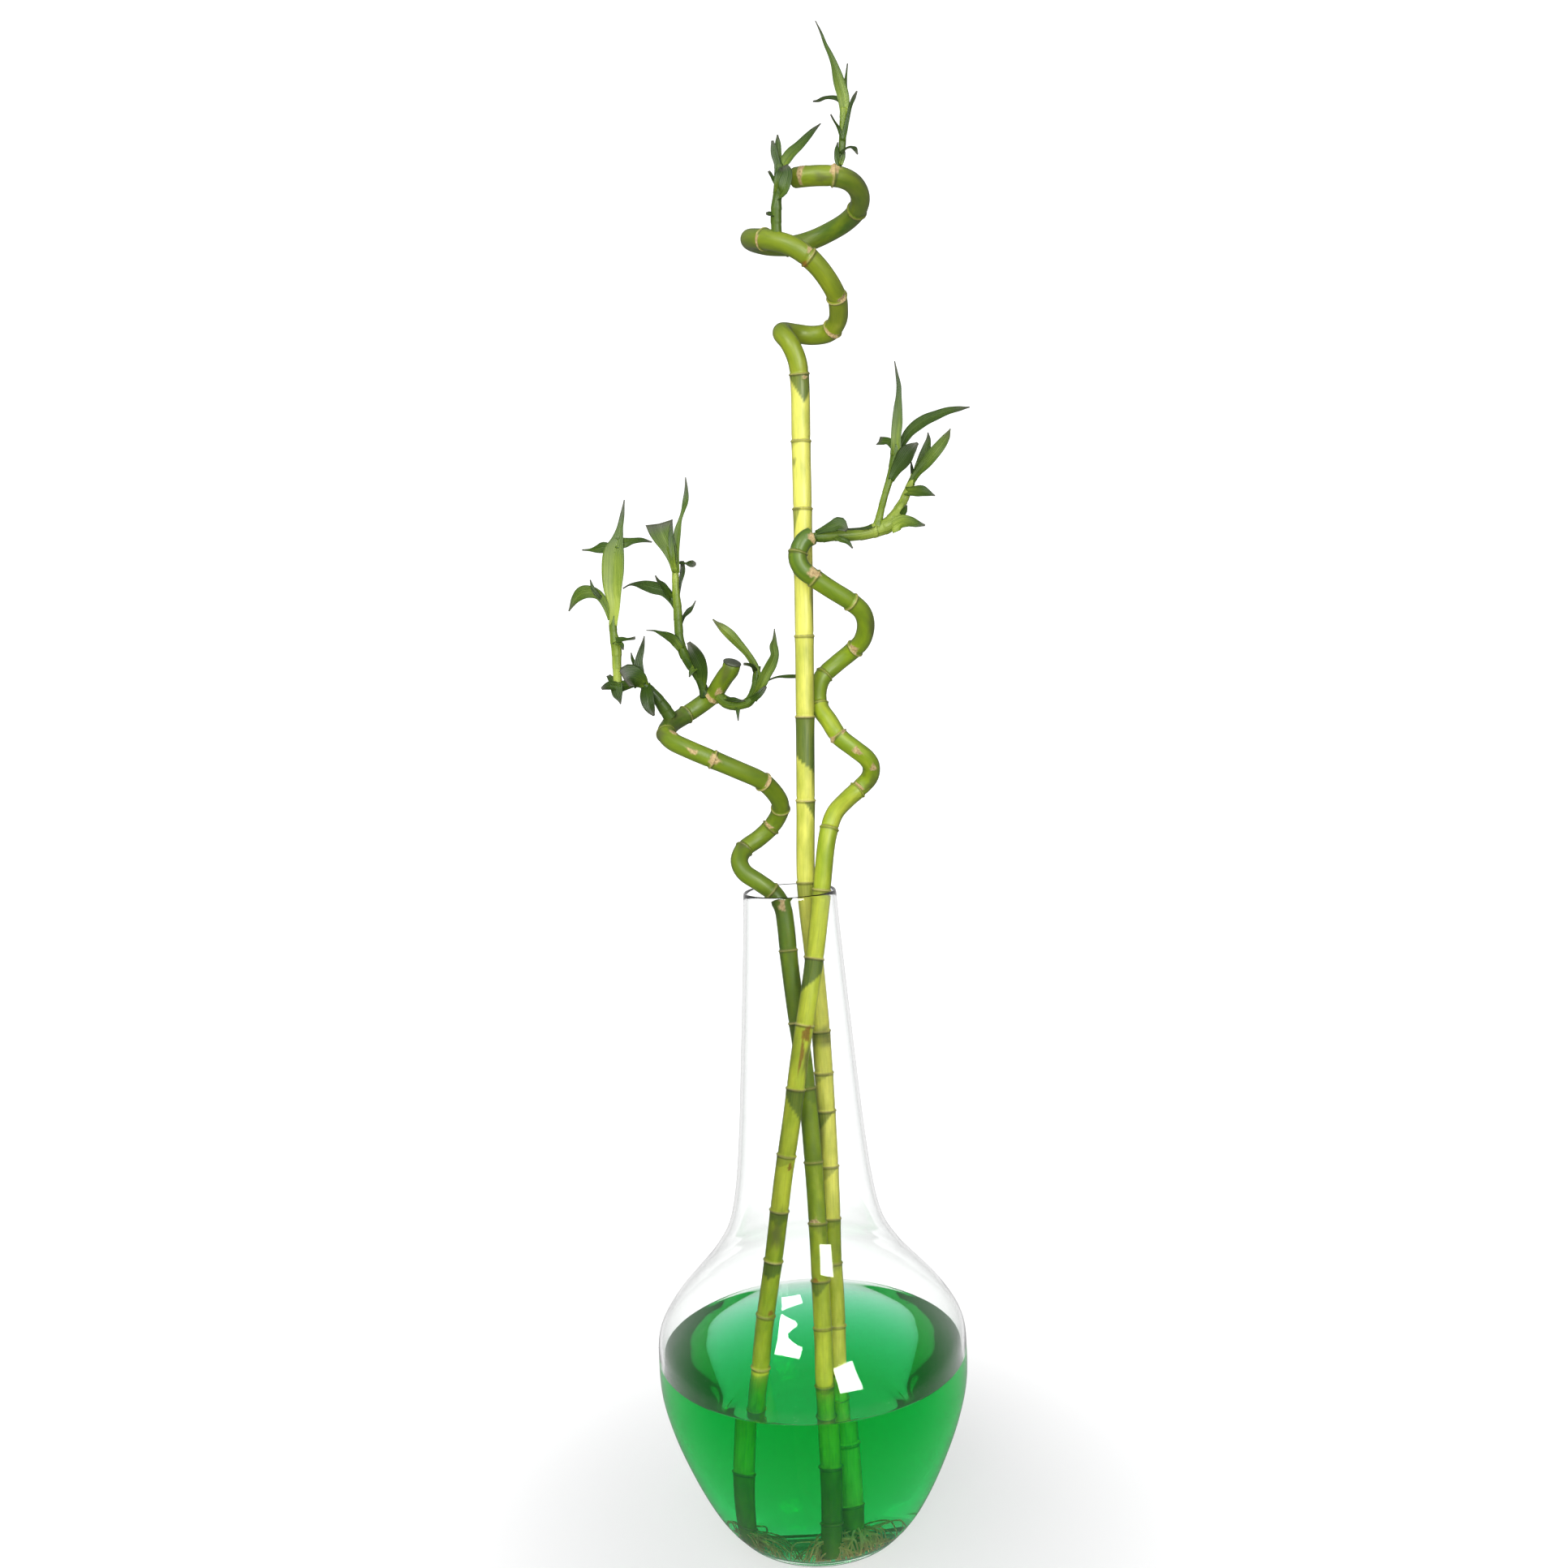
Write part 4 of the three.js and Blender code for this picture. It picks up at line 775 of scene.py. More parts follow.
LEFT_BARK = ((0.05, 0.12, 0.01, 1), (0.22, 0.32, 0.012, 1), (0.74, 0.8, 0.07, 1))
LEFT_ROOTS = (-60, 280, 30, 44)
LEFT_SEED = 8
left_cane = cane(
    "left_cane", LEFT_ROUTE, LEFT_RADIUS, LEFT_RINGS, LEFT_WEDGES, LEFT_PATCHES,
    LEFT_ROOTS, LEFT_SEED,
)
left_cane.data.materials.append(cane_material("left_cane_bark", LEFT_BARK))
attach(left_cane, "root")
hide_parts("stalk_left")

# Wax seal
#
# The growers dip the cut end of a cane in dark wax so that it doesn't dry out. The wax has
# set as a low cap over the end of the left cane.
SEAL_THICKNESS = 2.2
SEAL_GAP = 0.1
SEAL_FACETS = 40
SEAL_PROFILE = [
    (NEAR_AXIS, 0.02), (LEFT_RADIUS - 0.6, 0.02), (LEFT_RADIUS - 0.1, 0.25),
    (LEFT_RADIUS + 0.1, 0.7), (LEFT_RADIUS, 1.2), (LEFT_RADIUS - 0.5, 1.7),
    (LEFT_RADIUS - 1.5, SEAL_THICKNESS), (LEFT_RADIUS * 0.5, SEAL_THICKNESS + 0.2),
    (NEAR_AXIS, SEAL_THICKNESS + 0.3),
]
WAX = ((0.03, 0.04, 0.022, 1), (0.13, 0.15, 0.09, 1))


def wax_material():
    """Dull dark wax, a little lumpy and greyer in random patches."""
    material, tree, shader = node_tree("dark_wax")
    colour = mix_colours(tree, noise(tree, 150.0, 4.0), *WAX)
    lumps = add_node(
        tree, "ShaderNodeBump",
        {"Strength": 0.5, "Distance": 0.0008, "Height": noise(tree, 240.0, 2.0)},
    )
    tree.links.new(colour, shader.inputs["Base Color"])
    tree.links.new(lumps.outputs["Normal"], shader.inputs["Normal"])
    shader.inputs["Roughness"].default_value = 0.5
    return material


left_length = curve_through(LEFT_ROUTE)[1][-1]
left_end, left_heading, _, _ = stations_on(LEFT_ROUTE, np.array([left_length]))
seal_points, seal_faces = turned(SEAL_PROFILE, SEAL_FACETS)
lean = Vector((0, 0, 1)).rotation_difference(Vector(left_heading[0])).to_matrix()
seal_points = np.array(seal_points) @ np.array(lean).T + left_end[0] + left_heading[0] * SEAL_GAP
end_seal = add_mesh("end_seal", seal_points, seal_faces, {})
end_seal.data.materials.append(wax_material())
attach(end_seal, "root")
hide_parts("end_seal_left")

# Crown shoot
#
# The crown shoot grew from a bud on the top turn of the tall cane. Its leaves are thin
# blades with fine veins along them, and each one clasps the stem with its base.
LEAF_THICKNESS = 0.7
LEAF_FOLD = 0.16
CLASP_FOLD = 0.2
CLASP_SHARE = 0.2
LEAF_WAVE = 0.25
RIB_GROOVE = 0.16
RIB_RIDGE = 0.28
LEAF_COLUMNS = 11
LEAF_STEP = 1.6
LEAF_LEAST_STEPS = 14
LEAF_LEAST_WIDTH = 0.35
STEM_SIDES = 14
STEM_STEP = 0.8
STEM_LEAST_STOPS = 16
SHEATH_LENGTH = 9.5
TO_CAMERA = (0, -1, 0.1)
# colours of a leaf from its darkest to its lightest tone
LEAF_TONES = [
    (0.0, (0.01, 0.026, 0.004, 1)), (0.3, (0.028, 0.072, 0.006, 1)),
    (0.55, (0.08, 0.145, 0.012, 1)), (0.8, (0.2, 0.29, 0.025, 1)), (1.0, (0.4, 0.5, 0.08, 1)),
]
VEIN = (0.3, 0.42, 0.05, 1)
UNDERSIDE = (0.2, 0.27, 0.08, 1)
GREY_TIP = (0.09, 0.09, 0.065, 1)


def sizes_on(route, distances):
    """The size that comes with each point of a route, blended smoothly at each distance."""
    lengths = curve_through(route)[1]
    places = np.interp(distances, lengths, np.arange(len(lengths)) / SPAN_STEPS)
    sizes = [knot[3] for knot in route]
    padded = np.array([sizes[0]] + sizes + [sizes[-1]], float)
    index = np.clip(places.astype(int), 0, len(sizes) - 2)
    share = places - index
    before, start, end, after = (padded[index + step] for step in range(4))
    cubic = 3 * (start - end) + after - before
    square = 2 * before - 5 * start + 4 * end - after
    return start + 0.5 * share * (end - before + share * (square + share * cubic))


def leaf(route, face, tones):
    """A blade along its midrib, folded up on both sides, closed, with marks for its veins."""
    length = curve_through(route)[1][-1]
    steps = max(LEAF_LEAST_STEPS, int(length / LEAF_STEP))
    shares = np.linspace(0, 1, steps + 1)
    middle, ahead, _, _ = stations_on(route, shares * length)
    widths = np.maximum(sizes_on(route, shares * length), LEAF_LEAST_WIDTH)
    across = np.cross(ahead, np.array(face, float))
    across /= np.linalg.norm(across, axis=1)[:, None]
    outward = np.cross(across, ahead)
    half = widths / 2
    columns = np.linspace(-1, 1, LEAF_COLUMNS)
    clasp = 1 - smooth_step(0.0, CLASP_SHARE, shares)
    fold = widths * (LEAF_FOLD + CLASP_FOLD * clasp)
    wave = LEAF_WAVE * np.sin(shares * 9 + length) * smooth_step(0.2, 0.6, shares)
    rows = []
    for upper in (True, False):
        line = columns if upper else -columns
        lifts = fold[:, None] * abs(line) ** 1.25 + wave[:, None] * (line * abs(line))
        if upper:
            lifts = lifts + LEAF_THICKNESS * (1 - 0.5 * line ** 2)
            lifts = lifts - RIB_GROOVE * np.exp(-((line / 0.09) ** 2))
        else:
            lifts = lifts - RIB_RIDGE * np.exp(-((line / 0.12) ** 2))
        sideways = across[:, None] * (line[None, :] * half[:, None])[..., None]
        rows.append(middle[:, None] + sideways + outward[:, None] * lifts[..., None])
    points = np.concatenate(rows, 1)
    count = 2 * LEAF_COLUMNS
    faces = skin(steps + 1, count)
    faces.append(tuple(range(count))[::-1])
    last = steps * count
    faces.append(tuple(range(last, last + count)))
    marks = {
        "across": np.tile(np.concatenate([columns, -columns]), steps + 1),
        "along": np.repeat(shares, count),
        "under": np.tile(np.repeat([0.0, 1.0], LEAF_COLUMNS), steps + 1),
        "stem": np.zeros(len(shares) * count),
        "tone": np.repeat(tones[0] + (tones[1] - tones[0]) * shares ** 1.3, count),
        "width": np.repeat(widths, count),
    }
    return points.reshape(-1, 3), faces, marks


def stem(route, tones):
    """A green stem, with the edge of a clasping leaf base every little way."""
    length = curve_through(route)[1][-1]
    stops = np.linspace(0, length, max(STEM_LEAST_STOPS, int(length / STEM_STEP)))
    share = stops / length
    sheath = (stops / SHEATH_LENGTH + 0.3) % 1
    radii = sizes_on(route, stops) * (1.0 + 0.07 * (0.5 - sheath))
    points, _, _ = rod_points(route, stops, radii, STEM_SIDES)
    faces = skin(len(stops), STEM_SIDES)
    faces.append(tuple(range(STEM_SIDES))[::-1])
    last = len(points) - STEM_SIDES
    faces.append(tuple(range(last, last + STEM_SIDES)))
    turns = np.arange(STEM_SIDES) * 2 * math.pi / STEM_SIDES
    sheath_edge = np.exp(-((np.minimum(sheath, 1 - sheath) / 0.05) ** 2))
    marks = {
        "across": np.tile(np.sin(turns), len(stops)),
        "along": np.repeat(0.3 + 0.3 * share, STEM_SIDES),
        "under": np.repeat(sheath_edge, STEM_SIDES),
        "stem": np.ones(len(points)),
        "tone": np.repeat(tones[0] + (tones[1] - tones[0]) * share, STEM_SIDES),
        "width": np.repeat(2 * radii, STEM_SIDES),
    }
    return points, faces, marks


def smooth_share(tree, value, low, high):
    """A link that runs smoothly from nought to one as a value goes from low to high."""
    node = add_node(
        tree, "ShaderNodeMapRange", {"Value": value, "From Min": low, "From Max": high},
        interpolation_type="SMOOTHSTEP",
    )
    return node.outputs["Result"]


def leaf_material():
    """Leaves are deep green with lighter stripes along them, painted edge shade and darker, greyer
    tips.
    """
    material, tree, shader = node_tree("leaf_green")
    across = mark_value(tree, "across")
    sideways = arithmetic(tree, "MULTIPLY", across, mark_value(tree, "width"))
    along = mark_value(tree, "along")
    place = add_node(
        tree, "ShaderNodeCombineXYZ",
        {0: sideways, 1: scaled(tree, along, 1.5), 2: mark_value(tree, "tone")},
    )
    stripes = add_node(
        tree, "ShaderNodeTexNoise",
        {"Vector": place.outputs[0], "Scale": 0.9, "Detail": 2.0},
    ).outputs["Fac"]
    patches = noise(tree, 60.0, 2.0)
    tone = arithmetic(tree, "ADD", mark_value(tree, "tone"), scaled(tree, stripes, 0.5, -0.25))
    tone = arithmetic(tree, "ADD", tone, scaled(tree, patches, 0.3, -0.15))
    # painted shade: the blades, not the stems, darken towards their edges
    edge = arithmetic(tree, "POWER", arithmetic(tree, "ABSOLUTE", across, 0), 5.0)
    edge = arithmetic(tree, "MULTIPLY", edge, scaled(tree, mark_value(tree, "stem"), -0.15, 0.15))
    tone = arithmetic(tree, "SUBTRACT", tone, edge, True)
    ramp = add_node(tree, "ShaderNodeValToRGB", {"Fac": tone})
    ramp.color_ramp.elements[0].color = LEAF_TONES[0][1]
    ramp.color_ramp.elements[1].color = LEAF_TONES[-1][1]
    for position, green in LEAF_TONES[1:-1]:
        ramp.color_ramp.elements.new(position).color = green
    veins = arithmetic(tree, "SINE", arithmetic(tree, "MULTIPLY", sideways, 2.6), 0)
    colour = mix_colours(tree, scaled(tree, veins, 0.05, 0.05), ramp.outputs["Color"], VEIN)
    blade_under = arithmetic(tree, "MULTIPLY", mark_value(tree, "under"), 0.15)
    colour = mix_colours(tree, blade_under, colour, UNDERSIDE)
    # the last quarter of each blade turns darker and greyer towards its tip
    tip_greying = arithmetic(tree, "MULTIPLY", smooth_share(tree, along, 0.75, 1.0), 0.8)
    colour = mix_colours(tree, tip_greying, colour, GREY_TIP)
    tree.links.new(colour, shader.inputs["Base Color"])
    relief = add_node(
        tree, "ShaderNodeBump", {"Strength": 0.12, "Distance": 0.0003, "Height": veins}
    )
    tree.links.new(relief.outputs["Normal"], shader.inputs["Normal"])
    rough = scaled(tree, patches, 0.2, 0.36)
    tree.links.new(rough, shader.inputs["Roughness"])
    shader.inputs["Specular IOR Level"].default_value = 0.3
    return material


leaf_green = leaf_material()


def grow_shoot(name, node, growths):
    """One shoot made of its stems and leaves, which grew as one piece."""
    points = []
    faces = []
    marks = {}
    total = 0
    for part_points, part_faces, part_marks in growths:
        points.append(part_points)
        faces += [tuple(index + total for index in face) for face in part_faces]
        for mark, values in part_marks.items():
            marks.setdefault(mark, []).append(values)
        total += len(part_points)
    marks = {mark: np.concatenate(values) for mark, values in marks.items()}
    shoot = add_mesh(name, np.concatenate(points), faces, marks)
    shoot.data.materials.append(leaf_green)
    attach(shoot, "root")
    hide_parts(node)


# each point of a stem or a leaf has its place and its radius or width, and each leaf has the
# way its face looks and its tones at the base and at the tip
grow_shoot("crown_shoot", "shoot_crown", [
    stem([
        [60.5, -34, 1020, 2.1], [62, -34.5, 1025.5, 2.1], [63.5, -35, 1032, 2.5],
        [64.5, -35, 1041, 2.6], [65.5, -35.5, 1050.5, 2.9], [66.5, -35.5, 1060.5, 3],
    ], (0.2, 0.9)),
    leaf([
        [66, -36, 1050.5, 5.5], [66.5, -36.5, 1059.5, 7], [66, -37, 1068, 8.5],
        [64, -36.5, 1076.5, 8.5], [62.5, -35.5, 1084, 7], [61, -34.5, 1091, 5],
        [58.5, -33, 1099, 3.5], [55.5, -31, 1107, 2.5], [53, -29.5, 1115.5, 1.8],
        [49.5, -28, 1124.5, 0.8],
    ], TO_CAMERA, (0.85, 0.15)),
    leaf([
        [66, -35.5, 1057.5, 4], [67, -34.5, 1067.5, 5], [68, -33, 1078, 3], [69, -32, 1084, 1.9],
        [70.5, -31, 1093, 0.8],
    ], (0.3, -1, 0), (0.6, 0.25)),
    leaf([
        [66.5, -35, 1059, 3], [64.5, -33, 1066, 3.5], [62, -30, 1069.5, 4], [57.5, -25, 1072.5, 4],
        [53, -20, 1074, 3.5], [49, -17, 1074, 2], [46, -13, 1075.5, 0.9],
    ], (0, -1, 0.25), (0.3, -0.1)),
    leaf([
        [65, -37, 1038, 4], [67, -39, 1046, 3.5], [69, -40.5, 1053.5, 3], [71, -42, 1060, 3],
        [73.5, -44, 1064.5, 3], [75.5, -46, 1068, 0.8],
    ], (-0.3, -1, 0.2), (0.4, 0)),
    leaf([
        [63.5, -37, 1040, 3.5], [61.5, -39, 1045.5, 3], [58.5, -42, 1049.5, 2.5],
        [56, -45, 1053.5, 0.8],
    ], (0.3, -1, 0.5), (0.45, -0.1)),
    leaf([
        [63, -37, 1028.5, 3.5], [66, -40, 1031, 3], [69, -44, 1030.5, 3], [71.5, -48, 1028, 4],
        [73.5, -50, 1023.5, 0.9],
    ], (0, -1, 0.7), (0.05, 0)),
    leaf([
        [61, -36, 1021, 3], [60, -37, 1026, 4], [60, -36, 1032, 3], [61, -34, 1038, 1.2],
    ], (-0.4, -1, 0.1), (0.4, 0.15)),
    leaf([
        [62, -37, 1022, 3], [63.5, -38, 1026, 3.5], [65, -38.5, 1030, 2],
    ], (0.4, -1, 0.1), (0.75, 0.1)),
])

# Upper left shoot
#
# This short shoot grew from a bud on the front of the tall cane's wide turn. It is a knobby
# green stem with small blades that clasp it, grown fast to the cane.
grow_shoot("upper_left_shoot", "shoot_upper_left", [
    stem([
        [14.5, -34, 977.5, 3.7], [14.5, -36, 986, 3.9], [15, -38, 993, 3.9], [16, -39, 1000.5, 3.4],
        [18, -40, 1006.5, 4.3], [19, -40, 1014.5, 4.5], [18.5, -39.5, 1022, 3.5],
        [18.5, -39, 1027, 2.5],
    ], (0.55, 0.3)),
    leaf([
        [17, -41, 1015.5, 4], [17, -42, 1023, 4.5], [15.5, -43, 1029, 5], [15, -43.5, 1034, 4],
        [14.5, -44, 1038, 1.8],
    ], TO_CAMERA, (0.25, 0.2)),
    leaf([
        [18, -39, 1016, 4], [18.5, -38, 1024.5, 4.5], [18.5, -37, 1032.5, 4.5],
        [18.5, -36, 1039, 4], [18.5, -35, 1045, 1.2],
    ], TO_CAMERA, (0.5, 0.3)),
    leaf([
        [18.5, -41, 1017, 6.5], [22.5, -41, 1023, 8.5], [27.5, -40, 1029.5, 9],
        [33.5, -38.5, 1035, 8], [39.5, -36.5, 1041.5, 6], [44.5, -35, 1047, 3.5],
        [49.5, -33, 1052, 0.9],
    ], (-0.3, -1, 0.3), (0.7, 0.05)),
    leaf([
        [17, -40, 1000.5, 5.5], [20.5, -45, 1003, 8], [22.5, -46, 1009, 9], [24, -45.5, 1015, 7.5],
        [22.5, -44, 1020.5, 4],
    ], (-0.2, -1, 0.2), (0.5, 0.2)),
    leaf([
        [16, -42, 1004, 4], [17, -45, 1008.5, 6.5], [18.5, -45.5, 1013.5, 6.5],
        [20.5, -44, 1018.5, 3.5],
    ], (0.3, -1, 0.2), (0.75, 0)),
    leaf([
        [14, -38, 988.5, 3.5], [10.5, -40, 989, 4], [7.5, -41, 989, 2.5],
    ], (0, -1, 0.5), (0.2, 0)),
    leaf([
        [16, -39, 1009, 3.5], [13.5, -38, 1014.5, 3], [11, -36, 1020, 1.8],
    ], (0.3, -1, 0.2), (0.3, -0.1)),
])

# Right shoot
#
# This shoot grew out of the bud below the right cane's cut end, ran level to the right and
# then forked. Its two branches are soft green stems with narrow pointed leaves.
grow_shoot("right_shoot", "shoot_right", [
    stem([
        [31, -13, 764.5, 3.2], [36.5, -12.5, 764.5, 4.3], [46.5, -11, 765, 4.1],
        [58.5, -8.5, 765, 4.4], [69, -7, 766, 4.9], [78, -6, 768, 5.5],
    ], (0.5, 0.95)),
    leaf([
        [33, -14, 767, 3.5], [39, -17, 769, 5.5], [45, -19.5, 770.5, 8.5], [50, -21, 771.5, 11.5],
        [53.5, -22, 769, 6.5], [55.5, -22, 767, 2.5],
    ], (0, -1, 0.3), (0.25, 0.4)),
    leaf([
        [75.5, -10, 769.5, 5], [68, -15, 768, 4], [60.5, -17, 768, 3.5], [54, -17, 768, 2.5],
    ], (0, -0.6, 1), (0.3, -0.1)),
    leaf([
        [45, -12, 764.5, 3.5], [50.5, -18, 761, 5], [55.5, -20, 758.5, 4], [59, -21, 754, 0.9],
    ], (0.2, -1, 0.4), (0.7, 0.15)),
    stem([
        [79, -6, 770, 4], [81, -6, 778, 2.8], [84, -8, 788.5, 2.6], [87, -9, 797.5, 2.6],
        [90.5, -9, 807, 3], [93.5, -9, 816.5, 3.8], [95, -9, 824.5, 4.1], [95, -9, 829.5, 3.8],
    ], (0.8, 0.5)),
    leaf([
        [91, -11, 803, 5], [94.5, -13, 810, 8.5], [99, -15.5, 815.5, 12.5], [103, -17.5, 821, 13.5],
        [107, -19, 825, 8], [110.5, -19.5, 828, 1.8],
    ], (-0.3, -1, 0.3), (0.3, -0.05)),
    leaf([
        [94.5, -11, 821, 7.5], [95, -12, 833, 7.5], [96.5, -12, 844.5, 8], [97.5, -12, 855, 6.5],
        [98.5, -11, 863.5, 4.5], [99, -10, 872, 3.5], [98, -9, 881, 2], [97, -8, 890, 0.8],
    ], TO_CAMERA, (0.75, 0)),
    leaf([
        [96, -7, 821.5, 5], [100.5, -5, 829.5, 6], [105.5, -3, 837, 8.5], [112.5, 0, 843, 10.5],
        [119.5, 3, 847.5, 10], [127.5, 6, 851, 8.5], [136.5, 9, 854.5, 7], [145.5, 12, 856.5, 5],
        [154, 14, 858, 1.2],
    ], (-0.4, -1, 0.4), (0.35, 0.35)),
    leaf([
        [94.5, -9, 825, 4.5], [91, -2, 832, 6], [88, 2, 833.5, 7], [84, 6, 834.5, 7.5],
    ], (0, -1, 0.3), (0.4, 0.3)),
    stem([
        [77, -5, 767, 4.6], [85.5, -4.5, 770.5, 5.8], [91.5, -3, 775.5, 5.5], [96, -1, 782.5, 4.3],
        [100, 1, 789.5, 3.4], [103.5, 3, 796.5, 3.1], [107, 5, 803.5, 2.8], [109, 6, 809, 2.1],
    ], (0.85, 0.95)),
    leaf([
        [109, 7, 805, 4.5], [112.5, 9, 813.5, 6], [117.5, 11, 822, 8.5], [120.5, 13, 830.5, 6],
        [122, 14, 836, 3.5], [122, 15, 841, 0.9],
    ], TO_CAMERA, (0.55, 0.3)),
    leaf([
        [106.5, 4, 802, 5], [111.5, 2, 809.5, 6], [118, 0, 816, 8.5], [124, -3, 822.5, 9],
        [129.5, -5, 828.5, 8], [133.5, -7, 834, 5.5], [136, -9, 839, 0.9],
    ], (-0.2, -1, 0.1), (0.45, 0.7)),
    leaf([
        [107.5, 4.5, 800.5, 3], [108.5, 12, 810.5, 3], [108.5, 15, 815.5, 2.5],
        [108.5, 17, 820, 0.8],
    ], (0.2, -1, 0), (0.05, 0)),
    leaf([
        [102.5, 1, 795.5, 6], [108, -4, 795, 8], [113, -8, 794, 9], [117.5, -11, 792, 5.5],
        [122, -14, 790, 0.9],
    ], (0.1, -1, 0.2), (0.65, 0.1)),
    leaf([
        [89.5, -7, 768.5, 8.5], [96, -10, 772, 11], [102, -14, 771.5, 9], [107.5, -18, 769.5, 5.5],
        [113, -21, 768, 1.5],
    ], (0.1, -1, 0.2), (0.95, 0.2)),
    leaf([
        [97, -4, 777.5, 4.5], [99.5, -7, 781.5, 4.5], [101, -9, 785, 2],
    ], (0.2, -1, 0.2), (0.3, 0.25)),
])

# Far left shoot
#
# This is a woody green twig that grew out to the left from the left cane's wide turn. It
# carries a rosette of small leaves and, above it, a tall tip with one broad spear of a leaf.
grow_shoot("far_left_shoot", "shoot_far_left", [
    stem([
        [-84, 9, 636, 5.3], [-89, 6, 645, 4.9], [-94, 3, 653, 4.1], [-99.5, 1, 660, 3.3],
        [-105, -1, 664, 3.2], [-112.5, -3, 663, 3.4], [-119.5, -5, 661.5, 4.3],
    ], (0.4, 0.35)),
    leaf([
        [-100, 0, 661, 7], [-99, -9, 653, 10.5], [-98, -12, 647, 9.5], [-96, -12, 641.5, 5.5],
        [-94.5, -12, 638.5, 1.5],
    ], (-0.1, -1, 0.2), (0.3, -0.05)),
    leaf([
        [-104, -3, 662, 6.5], [-105.5, -4, 672, 9], [-104.5, -3, 680.5, 6],
        [-102.5, -1, 687.5, 4.5], [-101, 2, 693.5, 2.5], [-100, 4, 698.5, 0.9],
    ], (0.2, -1, 0.1), (0.4, -0.1)),
    leaf([
        [-100.5, 0, 661, 5.5], [-105.5, -9, 666.5, 13.5], [-110.5, -13, 668, 19],
        [-115, -15, 666, 14.5],
    ], (-0.2, -1, 0.2), (0.75, -0.1)),
    leaf([
        [-105, -4, 671, 3], [-110, 6, 681.5, 2.5], [-111, 8, 686.5, 0.9],
    ], TO_CAMERA, (0.15, 0.15)),
    stem([
        [-121, -5, 659, 4.4], [-121, -5, 665.5, 3.3], [-121, -5, 677.5, 3.4],
        [-120.5, -5, 689.5, 3.9], [-121, -5, 694.5, 3.9], [-122, -5, 701, 3], [-122, -5, 710, 3],
        [-120.5, -5, 720, 2.8],
    ], (1.1, 0.55)),
    leaf([
        [-119.5, -7, 661.5, 5.5], [-125, -12, 662, 7.5], [-128.5, -15, 661.5, 6],
        [-132, -17, 660.5, 2.5],
    ], (0, -1, 0.4), (0.5, -0.1)),
    leaf([
        [-121.5, -10, 662.5, 9], [-120.5, -14, 655.5, 8], [-119, -16, 651.5, 3.5],
        [-118.5, -17, 648.5, 0.9],
    ], (0, -1, 0.3), (0.35, -0.1)),
    leaf([
        [-121, -4, 660.5, 5.5], [-125.5, 1, 666, 6], [-129, 5, 670, 3.5],
    ], (0.2, -1, 0.4), (0.4, 0.25)),
    leaf([
        [-120, -4, 659, 5.5], [-117.5, 4, 661.5, 7.5], [-116.5, 9, 664, 6],
    ], (-0.3, -1, 0.2), (0.3, 0.2)),
    leaf([
        [-121.5, -6, 707.5, 6], [-119.5, -8, 721, 8], [-120, -9, 734, 13.5], [-119, -9, 747, 16.5],
        [-117.5, -8.5, 760.5, 15.5], [-114.5, -7, 770.5, 9], [-112.5, -5, 779, 5],
        [-110.5, -3, 788.5, 3.5], [-108.5, -1, 800, 0.9],
    ], TO_CAMERA, (1.1, 0.2)),
    leaf([
        [-115, -8, 761.5, 2.5], [-124.5, -5, 765, 8.5], [-130.5, -3, 764.5, 6],
        [-136, 0, 764.5, 2.5], [-142.5, 2, 765, 0.9],
    ], (0.1, -1, 0.2), (0.4, 0.3)),
    leaf([
        [-116, -6, 767.5, 7.5], [-109.5, -7, 767.5, 8], [-103, -9, 768.5, 5],
        [-96, -12, 768.5, 3.5], [-88.5, -15, 766.5, 1.2],
    ], (0.1, -1, 0.2), (0.55, 0)),
    leaf([
        [-123.5, -6, 711.5, 3.5], [-126.5, -3, 722, 5.5], [-131.5, 1, 730, 7], [-138, 4, 733, 9.5],
        [-144.5, 6, 733, 11], [-150, 8, 729.5, 7.5], [-156.5, 10, 720.5, 0.9],
    ], (-0.1, -1, 0.3), (0.65, 0.5)),
    leaf([
        [-129, 0, 726.5, 3.5], [-135.5, 0, 734.5, 3.5], [-138, 2, 742.5, 0.9],
    ], (0.2, -1, 0.2), (0.05, 0.3)),
    leaf([
        [-121.5, -7, 695, 5], [-116, -11, 696, 4.5], [-110.5, -15, 696, 2.5],
        [-104.5, -18, 696.5, 2.5],
    ], (0, -1, 0.5), (0.4, -0.1)),
    leaf([
        [-119.5, -9, 694.5, 5], [-115.5, -13, 692, 3.5], [-114.5, -15, 688.5, 1.2],
    ], (0.3, -1, 0.3), (0.7, -0.1)),
])

